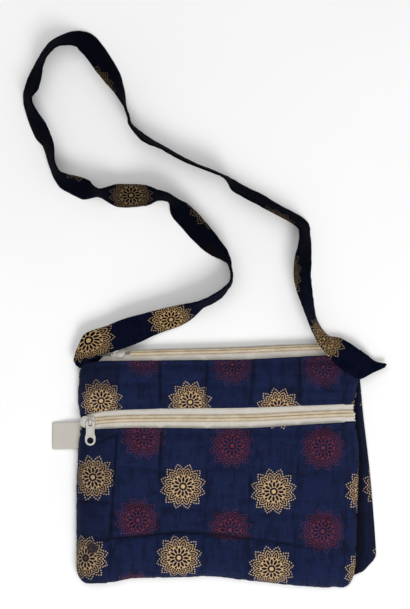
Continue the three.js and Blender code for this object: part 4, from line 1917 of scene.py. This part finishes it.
def arc(x: float, y: float, radius: float, start: float, end: float, count: int) -> list[Pair]:
    """Points along an arc, in degrees."""
    turns = np.radians(np.linspace(start, end, count))
    return [(x + radius * math.cos(a), y + radius * math.sin(a)) for a in turns]


def rounded(half: float, top: float, foot: float, radius: float) -> list[Pair]:
    """The outline of a box with rounded corners, half of it to each side of x = 0.

    Args:
        half: Half its width.
        top: Its upper edge.
        foot: Its lower edge.
        radius: The corners' radius.

    Returns:
        The outline's points.
    """
    x, high, low = half - radius, top - radius, foot + radius
    corners = ((x, high), (-x, high), (-x, low), (x, low))
    return [spot for k, corner in enumerate(corners) for spot in arc(*corner, radius, 90 * k, 90 * k + 90, 4)]


def mirrored(half: Spots) -> list[Pair]:
    """An outline from its right half, starting at the left end of its first edge."""
    left = [(-x, y) for x, y in half]
    return [left[0], *half, *left[:0:-1]]


def cut(piece: Piece, cutters: Iterable[Piece]) -> Piece:
    """Cuts shapes out of a piece and removes the cutters.

    Args:
        piece: The piece.
        cutters: The shapes.

    Returns:
        The same piece.
    """
    for cutter in cutters:
        modified(piece, "BOOLEAN", object=cutter, solver="EXACT")
        bpy.data.objects.remove(cutter)
    return piece


def soften(piece: Piece, width: float) -> Piece:
    """Rounds a hard piece's edges.

    Args:
        piece: The piece.
        width: How wide the rounding is.

    Returns:
        The same piece.
    """
    sharp = {"limit_method": "ANGLE", "angle_limit": math.radians(35), "use_clamp_overlap": True}
    modified(piece, "BEVEL", width=width * MM, segments=3, **sharp)
    smooth(piece.data)
    return piece


@dataclass
class Slider:
    """A zip slider in its own frame: X along the zip, z = 0 on the tapes, the pull's axis at y = 0."""

    enamel: Material
    length: float = 13.5
    width: float = 10.8
    tail: float = 8.4
    plate: float = 1.2
    under: float = 1.3
    arch_x: float = 2.9
    arch_width: float = 2.0
    arch_reach: float = 2.6
    arch_wall: float = 1.0
    arch_top: float = 6.9
    floor_under: float = -2.8
    floor_long: float = 4.2
    floor_wide: float = 4.0
    crown: tuple[float, float, float] = (4.2, 4.3, 1.5)
    crown_x: float = -2.1

    def build(self, name: str, node: str, where: Matrix, with_floor: bool) -> Piece:
        """Makes the slider.

        Args:
            name: The piece's name.
            node: The solid that it stands for.
            where: Its place in the bag's frame.
            with_floor: Whether its lower plate and post are there.

        Returns:
            The slider.
        """
        parts = [self._plate(), self._crown(), self._arch()]
        if with_floor:
            end, low, wide = self.length / 2 - 0.4, self.floor_under, self.floor_wide
            start = end - self.floor_long
            floor = [(start, -wide), (end, -wide), (end, wide), (start, wide)]
            parts.append(soften(outline_plate("floor", floor, low, low + 1.2), 0.3))
            post = [(start, -1.6), (end - 2, -1.6), (end - 2, 1.6), (start, 1.6)]
            parts.append(outline_plate("post", post, low + 0.4, self.under + 0.5))
        made = joined(name, parts)
        made.data.transform(where)
        return dress(made, self.enamel, Slot.ENAMEL, node)

    def _plate(self) -> Piece:
        """The upper plate, with a round nose and a narrower tail.

        Returns:
            The plate.
        """
        half, nose, tail = self.length / 2, self.width / 2, self.tail / 2
        outline = [(half, -tail), (half, tail), (half * 0.35, tail + 0.1), (0.4, tail + 0.6)]
        outline += arc(-half + nose, 0, nose, 95, 265, 15)
        outline += [(0.4, -tail - 0.6), (half * 0.35, -tail - 0.1)]
        return soften(outline_plate("plate", outline, self.under, self.under + self.plate), 0.5)

    def _crown(self) -> Piece:
        """The bulging nose over the plate.

        Returns:
            The nose.
        """
        bm = bmesh.new()
        bmesh.ops.create_uvsphere(bm, u_segments=24, v_segments=12, radius=1)
        bmesh.ops.bisect_plane(
            bm, geom=bm.verts[:] + bm.edges[:] + bm.faces[:], plane_co=(0, 0, 0), plane_no=(0, 0, -1),
            clear_outer=True,
        )
        bmesh.ops.holes_fill(bm, edges=bm.edges, sides=0)
        bmesh.ops.scale(bm, verts=bm.verts, vec=[size * MM for size in self.crown])
        rise = self.under + self.plate - 0.3
        bmesh.ops.translate(bm, verts=bm.verts, vec=(self.crown_x * MM, 0, rise * MM))
        return add_object("crown", bm)

    def _arch(self) -> Piece:
        """The bridge that the pull hangs on: a bar that rises, crosses and comes down.

        Returns:
            The bridge.
        """
        reach, top, wall = self.arch_reach, self.arch_top, self.arch_wall
        foot = self.under + 0.4
        outside = [(reach, foot), (reach, top - 1.2), (reach - 0.4, top - 0.4), (reach - 1.2, top)]
        inner, clear = reach - wall, top - wall
        inside = [(inner, foot - 2), (inner, clear - 0.5), (inner - 0.5, clear)]
        half = self.arch_width / 2
        bar = outline_plate("arch", mirrored(outside), -half, half)
        bar = soften(cut(bar, [outline_plate("opening", mirrored(inside), -half - 1, half + 1)]), 0.22)
        turn = Matrix(((0, 0, 1, self.arch_x * MM), (1, 0, 0, 0), (0, 1, 0, 0), (0, 0, 0, 1)))
        bar.data.transform(turn)
        return bar


@dataclass
class PullTab:
    """A zip pull in its own frame: it hangs on its end bar, along X through the origin, towards -Y."""

    enamel: Material
    neck: float = 7.6
    width: float = 9.4
    length: float = 21.1
    thick: float = 1.4
    bar: float = 0.75
    hole: float = 2.9
    hole_at: float = 16.6
    flare: Pair = (10.0, 13.2)
    eye: Pair = (3.0, 3.9)
    panel: tuple[float, float, float, float] = (5.6, 5.0, 12.2, 0.35)
    rim: float = 0.45
    rim_proud: float = 0.15

    def build(self, name: str, node: str, body: str, where: Matrix) -> Piece:
        """Makes the pull.

        Args:
            name: The piece's name.
            node: The solid that it stands for.
            body: The body that it moves with.
            where: Its place in the bag's frame.

        Returns:
            The pull.
        """
        tab = outline_plate(name, self._outline(), -self.thick / 2, self.thick / 2)
        tab = soften(cut(tab, self._cutters()), 0.26)
        made = joined(name, [tab, self._rim()])
        self._mark_panel(made.data)
        made.data.transform(where)
        return dress(made, self.enamel, Slot.ENAMEL, node, body)

    def _outline(self) -> list[Pair]:
        """The tab's outline, with a round head and a wider round end.

        Returns:
            The outline's points.
        """
        neck, wide, round_ = self.neck / 2, self.width / 2, 1.5
        start, end = self.flare
        head = self.bar - round_
        points = arc(neck - round_, head, round_, 0, 90, 5) + arc(round_ - neck, head, round_, 90, 180, 5)
        points += [(-neck, -start), (-neck - 0.3, -(start + end) / 2), (-wide, -end)]
        points += arc(0, -self.length + wide, wide, 184, 356, 17)
        points += [(wide, -end), (neck + 0.3, -(start + end) / 2), (neck, -start)]
        return points

    def _mark_panel(self, mesh: Mesh) -> None:
        """Marks the floor of the sunk panel, which the enamel darkens as painted shade.

        Args:
            mesh: The pull's mesh.
        """
        wide, start, end, depth = self.panel
        marks = [
            float(abs(p.center.x) < wide / 2 and -end < p.center.y < -start
                  and p.normal.z > 0.9 and p.center.z < self.thick / 2 - depth / 2)
            for p in mesh.polygons
        ]
        mark(mesh, "sunk", marks, "FACE")

    def _cutters(self) -> list[Piece]:
        """The eye, the round hole and the sunk panel.

        Returns:
            The three shapes.
        """
        wide, start, end, depth = self.panel
        return [
            outline_plate("eye", rounded(self.eye[0] / 2, -self.bar, -self.eye[1], 0.7), -3, 3),
            outline_plate("hole", arc(0, -self.hole_at, self.hole, 0, 360, 33)[:-1], -3, 3),
            outline_plate("panel", rounded(wide / 2, -start, -end, 0.8), self.thick / 2 - depth, 3),
        ]

    def _rim(self) -> Piece:
        """The raised rim round the hole, on both faces.

        Returns:
            The rim.
        """
        bm = bmesh.new()
        ring = bmesh.ops.create_circle(bm, segments=8, radius=self.rim * MM)["verts"]
        bmesh.ops.rotate(bm, verts=ring, cent=(0, 0, 0), matrix=Matrix.Rotation(math.pi / 2, 3, "X"))
        bmesh.ops.scale(bm, verts=ring, vec=(1.2, 1, (self.thick / 2 + self.rim_proud) / self.rim))
        bmesh.ops.translate(bm, verts=ring, vec=((self.hole + 0.75) * MM, -self.hole_at * MM, 0))
        bmesh.ops.spin(
            bm, geom=bm.verts[:] + bm.edges[:], cent=(0, -self.hole_at * MM, 0), axis=(0, 0, 1),
            angle=math.tau, steps=32, use_merge=True, dvec=(0, 0, 0),
        )
        made = add_object("rim", bm)
        close_up(made.data, 0.005)
        return made


@dataclass
class SideTag:
    """A blank woven label folded double and sewn into the left seam."""

    material: Material
    left: float = -148.5
    right: float = -121.8
    low: float = 18.2
    high: float = 42.6
    seam: float = 3.1
    tip: float = 0.9
    skew: float = 1.2
    leaf: float = 0.3
    corner: float = 2.2
    gap: float = 0.24

    def build(self) -> Piece:
        """Makes the label.

        Returns:
            The label.
        """
        out = np.linspace(0, 1, 22)
        along, v = np.meshgrid(1 - np.concatenate([out, out[::-1]]), out, indexing="ij")
        side = np.broadcast_to(np.repeat([-1.0, 1.0], len(out))[:, None], along.shape)
        x = lerp(self.left, self.right, along)
        y = lerp(self.low, self.high, v) - self.skew * (1 - along)
        inset = np.clip(self.corner - (x - self.left), 0, None) * 0.22
        y = lerp(y, lerp(y.min(), y.max(), 0.5), np.abs(2 * v - 1) * inset / 10)
        loose = 0.12 * np.sin(v * 5 + along * 4) * smoothstep(along, 0.1, 0.6)
        gap = self.gap * np.sqrt(np.clip(along / 0.05, 0, 1)) + loose
        lift = lerp(self.tip, self.seam, smoothstep(along, 0, 0.85))
        wave = 0.18 * np.sin(v * 6.1 + along * 2.3) * (1 - along)
        z = lift + wave - side * np.maximum(gap, 0.04)
        points = np.stack([x, y, np.maximum(z, 0.3)], -1)
        flat = np.stack([x * side, y], -1)
        piece, _ = cloth_grid("side_tag_label", points[::-1], flat[::-1])
        dress(thicken(piece, self.leaf, 0.0), self.material, Slot.LABEL, "side_tag")
        size = (2 * (self.right - self.left) * MM, (self.high - self.low) * MM)
        return piece


# The strap's centre line, a row for each fold: its roll and the height of its lower edge
STRAP_ROUTE = Rows(("x", "y", "roll", "rest"), (
    (-118, 95, -20, 6.9), (-118, 103, -20, 6.9), (-112, 111, -15, 9), (-94, 118, -15, 11.6),
    (-61, 130, 30, 3.5), (-33, 139, 45, 0.9), (-12, 149, 75, 0.8), (1, 156, 75, 0.8),
    (12, 168, 85, 0.8), (12, 182, 90, 0.8), (7, 191, 110, 0.8), (-8, 205, 135, 0.8),
    (-24, 223, 140, 0.8), (-33, 232, 135, 0.8), (-42, 243, 105, 0.8), (-53, 246, 110, 0.8),
    (-65, 246, 135, 0.8), (-86, 246, 145, 0.8), (-106, 248, 105, 0.8), (-120, 252, 135, 0.8),
    (-139, 260, 120, 0.8), (-147, 271, 105, 0.8), (-152, 292, 115, 0.8), (-159, 305, 125, 0.8),
    (-170, 330, 110, 0.8), (-166, 345, 125, 0.8), (-157, 369, 110, 0.8), (-145, 383, 115, 0.8),
    (-127, 387, 130, 0.8), (-115, 381, 140, 0.8), (-98, 358, 135, 0.8), (-89, 342, 115, 0.8),
    (-80, 319, 90, 0.8), (-77, 309, 95, 0.8), (-65, 297, 105, 0.8), (-47, 288, 100, 0.8),
    (-25, 276, 100, 0.8), (0, 266, 95, 0.8), (9, 261, 100, 0.8), (20, 252, 115, 0.8),
    (46, 238, 115, 0.8), (74, 222, 115, 0.8), (79, 210, 115, 0.8), (77, 186, 130, 0.8),
    (77, 170, 130, 0.8), (81, 151, 120, 0.8), (86, 133, 110, 0.8), (96, 116, 120, 1.6),
    (109, 107, 150, 5.9), (122, 97, 160, 9), (133, 90, 160, 3.4), (139, 87, 165, 1.4),
))

# Both ends of the strap, whose two edges run apart: sewn into the left seam, cut on the slant at the right
STRAP_START = Rows(("row", "plus_x", "plus_y", "minus_x", "minus_y"), (
    (0, -123, 90.5, -119, 95.5), (0.5, -127, 94, -116.5, 97), (1, -129, 98, -112.5, 98.5),
    (1.5, -128, 103, -108, 100), (2, -124.5, 111.5, -102.5, 102.5), (2.35, -119.5, 121, -98.5, 104),
    (2.6, -111.5, 125, -95, 105), (3, -98.5, 129, -90, 107),
))
STRAP_END = Rows(("row", "minus_x", "minus_y", "plus_x", "plus_y"), (
    (49, 129, 107, 115, 87.5), (49.7, 136.5, 101.5, 121.5, 84), (50.2, 142.5, 97, 128.5, 81),
    (50.6, 147.5, 95.5, 140, 86.5), (50.9, 151.5, 95, 148.5, 90), (51, 153, 94, 151.5, 91.5),
))

# Motifs on the strap: the place along the route and the place round the folded band
STRAP_MOTIFS = printed(
    gold=(
        (2.3, 6), (4.66, -1.2), (11.9, -1), (16.6, 24), (19.5, -3), (30.3, 1.5), (40.4, 1.5), (43.6, 1.5),
        (46.95, 25),
    ),
    maroon=((7.2, 33), (10.5, 42), (22.4, 40), (26, 60), (34.1, 30), (37, 36), (42.3, 46), (49.5, 70)),
    columns=("row", "round"),
)


@dataclass
class Strap:
    """The cotton strap: a folded band laid in a loop, rolling about its centre line."""

    material: Material
    width: float = 25.0
    thick: float = 2.2
    steps: int = 14
    clear: float = 0.1
    lies_from: Pair = (4.5, 6)
    lies_to: Pair = (46, 47.5)
    # The painted shade over the strap's far loop, and where it starts and ends
    shaded: float = 0.8
    far_from: Pair = (5, 10)
    far_to: Pair = (43, 47)
    face: tuple[float, ...] = (-1, -0.97, -0.9, -0.8, -0.6, -0.4, -0.2, 0, 0.2, 0.4, 0.6, 0.8, 0.9, 0.97, 1)

    def build(self) -> Piece:
        """Makes the strap.

        Returns:
            The strap.
        """
        last = len(STRAP_ROUTE.rows) - 1
        at = np.linspace(0, last, last * self.steps + 1)
        centre = self._route(at)
        turns = Rows(("row", "roll"), tuple(enumerate(STRAP_ROUTE.column("roll"))))
        roll = np.radians(turns.read("row", "roll", at))
        heading = unit(np.gradient(centre, axis=0))
        level = unit(np.stack([-heading[:, 1], heading[:, 0], np.zeros(len(at))], 1))
        side = level * np.cos(roll)[:, None] + np.array([0, 0, 1.0]) * np.sin(roll)[:, None]
        narrow = np.ones(len(at))
        for ends in (STRAP_START, STRAP_END):
            self._lead(ends, at, roll, centre, side, narrow)
        up = unit(np.cross(unit(np.gradient(centre, axis=0)), side))
        across, rise, around = self._section()
        reach = across[None, :] * self.width / 2 * narrow[:, None]
        height = rise[None, :] + np.array([[self._rumple(a, t) for t in across] for a in at])
        points = centre[:, None] + side[:, None] * reach[..., None] + up[:, None] * height[..., None]
        over = np.maximum(points[..., 2].min(1) - self.clear, 0)
        points[..., 2] -= (over * plateau(at, self.lies_from, self.lies_to))[:, None]
        travel = travelled(centre)
        flat = np.stack(np.meshgrid(travel, around, indexing="ij"), -1)
        piece, order = cloth_grid("strap_cotton", points, flat)
        # painted shade: the far loop is darkened towards deep
        far = self.shaded * plateau(at, self.far_from, self.far_to)
        mark(piece.data, "painted_shade", np.repeat(far, len(around))[order])
        close_up(piece.data, 0.01)
        rows = tuple(
            (float(np.interp(row, at, travel)), aside, ink) for row, aside, ink in STRAP_MOTIFS.rows
        )
        print_motifs(piece, Rows(("x", "y", "ink"), rows))
        dress(piece, self.material, Slot.STRAP, "strap")
        size = (self.width * MM, float(travel[-1]) * MM)
        return piece

    def _route(self, at: Array) -> Array:
        """The centre line's points at places counted in the route's own rows.

        Args:
            at: The places.

        Returns:
            Points in millimetres.
        """
        roll, rest = np.radians(STRAP_ROUTE.column("roll")), STRAP_ROUTE.column("rest")
        lift = rest + self.width / 2 * np.abs(np.sin(roll)) + 1.2 * np.abs(np.cos(roll))
        spots = np.stack([STRAP_ROUTE.column("x"), STRAP_ROUTE.column("y"), lift], 1)
        padded = np.concatenate([[2 * spots[0] - spots[1]], spots, [2 * spots[-1] - spots[-2]]])
        low = np.minimum(np.floor(at).astype(int), len(spots) - 2)
        t = (at - low)[:, None]
        before, start, end, after = (padded[low + k] for k in range(4))
        bend = (2 * before - 5 * start + 4 * end - after, 3 * start - before - 3 * end + after)
        return 0.5 * (2 * start + (end - before) * t + bend[0] * t**2 + bend[1] * t**3)

    def _lead(self, ends: Rows, at: Array, roll: Array, centre: Array, side: Array,
              narrow: Array) -> None:
        """Leads an end of the strap along its two edges, in place.

        Args:
            ends: The edges' places, by the route's rows.
            at: The strap's places along the route.
            roll: Its roll there.
            centre: Its centre line, which is moved.
            side: The directions across it, which are turned.
            narrow: Its width as a share of the full one, which is set.
        """
        rows = ends.column("row")
        here = (at >= rows[0]) & (at <= rows[-1])
        plus, minus = (
            np.stack([ends.read("row", f"{edge}_{axis}", at[here]) for axis in "xy"], 1)
            for edge in ("plus", "minus")
        )
        half = (plus - minus) / 2
        size = np.linalg.norm(half, axis=1)
        flat = np.abs(np.cos(roll[here]))
        centre[here, :2] = (plus + minus) / 2
        side[here, :2] = half / size[:, None] * flat[:, None]
        narrow[here] = size / (self.width / 2 * flat)

    def _section(self) -> tuple[Array, Array, Array]:
        """The folded band's section: places across, heights and the way round it.

        Returns:
            All three.
        """
        face, half = np.array(self.face), self.width / 2
        crown = self.thick / 2 * np.sqrt(np.clip(1 - np.abs(face) ** 7, 0.06, 1))
        across = np.concatenate([face, face[::-1], face[:1]])
        rise = np.concatenate([crown, -crown, crown[:1]])
        around = np.concatenate([face * half, half + (1 - face[::-1]) * half, [3 * half]])
        return across, rise, around

    def _rumple(self, at: float, across: float) -> float:
        """The height of the strap's soft rumples.

        Args:
            at: The place along it.
            across: The place across it.

        Returns:
            The height.
        """
        broad = noise.noise(Vector((at * 1.3, across * 0.8, 4.2)))
        fine = noise.noise(Vector((at * 4.5, across * 1.6, 9.1)))
        return 0.75 * broad + 0.4 * fine


@dataclass
class Studio:
    """A pale floor, soft light and the camera straight above, in metres."""

    aim: Pair = (-0.0108, 0.148)
    height: float = 2.008
    lens: float = 131.4
    sky: float = 0.42
    power: float = 17.0
    lamps: tuple[tuple[str, tuple[float, float, float], float], ...] = (
        ("key", (0.45, -0.95, 1.25), 0.8), ("fill", (-0.3, 0.75, 2.2), 2.0),
    )
    lit: tuple[float, float, float] = (0, 0.1, 0)
    floor_z: float = -0.0003

    def build(self) -> None:
        """Sets up the floor, the lights, the sky and the camera."""
        self._floor()
        for name, spot, size in self.lamps:
            light = bpy.data.lights.new(name, "AREA")
            light.size, light.energy = size, self.power
            lamp = link(name, light)
            lamp.location = spot
            lamp.rotation_euler = (Vector(self.lit) - Vector(spot)).to_track_quat("-Z", "Y").to_euler()
        scene = bpy.context.scene
        scene.view_settings.view_transform = "Standard"
        scene.world = bpy.data.worlds.new("soft sky")
        scene.world.use_nodes = True
        sky = scene.world.node_tree.nodes["Background"]
        sky.inputs["Color"].default_value = (1, 1, 1, 1)
        sky.inputs["Strength"].default_value = self.sky
        data = bpy.data.cameras.new("above")
        data.sensor_width, data.lens = 36, self.lens
        camera = link("above", data)
        camera.location = (*self.aim, self.height)
        scene.camera = camera

    def _floor(self) -> None:
        """Lays the pale floor."""
        bm = bmesh.new()
        bmesh.ops.create_grid(bm, x_segments=2, y_segments=2, size=4)
        bmesh.ops.translate(bm, verts=bm.verts, vec=(0, 0, self.floor_z))
        floor = add_object("floor", bm)
        material, graph, shader = new_material("pale floor")
        shade = graph.span(graph.noise(graph.where(), 3.0, 2.0), 0.3, 0.7)
        pale = graph.mix(shade, (246, 246, 246), (250, 250, 250))
        graph.fill(shader, {"Base Color": pale, "Roughness": 0.9})
        floor.data.materials.append(material)


def main() -> None:
    """Builds the bag piece by piece."""
    logging.basicConfig(level=logging.INFO)
    Studio().build()

    # Finishes
    thread = Fibre("navy thread", (5, 6, 15), (2, 3, 8), 0.8).build()
    nylon = Fibre("ivory nylon", (246, 238, 218), (226, 212, 182), 0.45).build()
    tan = Fibre("tan thread", (190, 142, 70), (146, 104, 46), 0.7).build()
    tan_line = Fibre("tan meeting line", (176, 137, 78), (126, 94, 50), 0.6).build()
    tape = WovenTape("cream zip tape").build()
    label = WovenTape("blank label", (204, 199, 191), (184, 179, 170), 0.9, 0.0).build()
    enamel = Enamel("off-white enamel").build()
    # painted shade: the back's cotton is the bag's same cotton with darker colours
    back = PrintedCotton(
        "shaded printed cotton of the back", ground=(9, 14, 34), pale=(16, 24, 52), gold=(168, 140, 102),
        dot=(170, 152, 130),
    ).build()
    # painted shade: the strap's cotton is the bag's same cotton with much darker colours
    strap = PrintedCotton(
        "shaded printed cotton of the strap", ground=(5, 8, 22), pale=(10, 15, 37), gold=(184, 152, 107),
        dot=(160, 136, 104), maroon=(46, 19, 28), deep=(1, 2, 6), sheen=0.0, shine=0.03,
    ).build()

    # Quilted panels
    pocket = FrontPanel(
        "pocket_panel_cotton", "pocket_panel", 0, POCKET_UPRIGHTS, (35, -100), ("low", "middle", "high"),
        (20, 32, 36, 37), POCKET_MOTIFS, PrintedCotton("printed cotton with a stain", stains=STAINS), thread,
        tuck=9.0,
    )
    yoke = FrontPanel(
        "front_yoke_cotton", "front_yoke", 2, YOKE_UPRIGHTS, (98, 56), ("yoke",), (20, 22), YOKE_MOTIFS,
        PrintedCotton("printed cotton", maroon=(94, 35, 47)), thread, gather=0.945,
    )
    made = [*pocket.build(), *yoke.build(), BackPanel(back).build()]

    # Both zips, with the strips inside the front one's ends
    below, above = (-15, -0.7), (0.7, 15)
    line, top = ZipLine(1, 0.5, 0.045, 1.002, 0.968), ZipLine(3, 0.8, 0.155, 0.925)
    made += ZipCoil("front_zip", "front_coil", line, nylon, tan, tan_line).build()
    for name, reach, past in (("lower", below, 1.4), ("upper", above, 0.4)):
        node = f"front_tape_{name}"
        made.append(ZipTape(f"{node}_woven", node, line, reach, (7, past), tape, ragged=2.0).build())
    # painted shade: both strips wear the back's darker cotton
    made.append(ZipStay("front_zip_stay_left", back, 0.0, 0.05, below=3.4).build())
    made.append(ZipStay("front_zip_stay_right", back, 1.0, 0.95).build())
    made += ZipCoil("top_zip", "top_coil", top, nylon, tan, tan_line, tooth=2.2, sewing=(-2.8,)).build()
    made.append(ZipTape("top_tape_front_woven", "top_tape_front", top, below, (26, 8), tape).build())
    made.append(BackTape(top, tape).build())

    # Sliders with their pulls: the front one turns, the top one lies still
    slider, pull = Slider(enamel), PullTab(enamel)
    axis_height, lean = 4.6, math.radians(-28)
    top_x, top_u, top_v = -89, 0.152, 3.8
    from_slider = Vector((slider.arch_x, 0, axis_height))
    front_at = Matrix.Translation((PULL_AT - from_slider) * MM)
    ridge = SKIN.points(np.array([top_u]), np.array([top_v]))[0]
    turn = Matrix.Rotation(lean, 4, "X") @ Matrix.Rotation(math.pi, 4, "Z")
    top_at = Matrix.Translation(Vector((top_x, ridge[1], ridge[2])) * MM) @ turn
    hung = top_at @ Matrix.Translation(from_slider * MM)
    made += [
        slider.build("front_slider_body", "front_slider", front_at, True),
        pull.build("front_pull_tab", "front_pull", "pull", Matrix.Translation(PULL_AT * MM)),
        slider.build("top_slider_body", "top_slider", top_at, False),
        pull.build("top_pull_tab", "top_pull", "bag", hung),
        SideTag(label).build(),
        Strap(strap).build(),
    ]
    for piece in made:
        log.info("%s: %d faces", piece.name, len(piece.data.polygons))


if __name__ == "__main__":
    main()
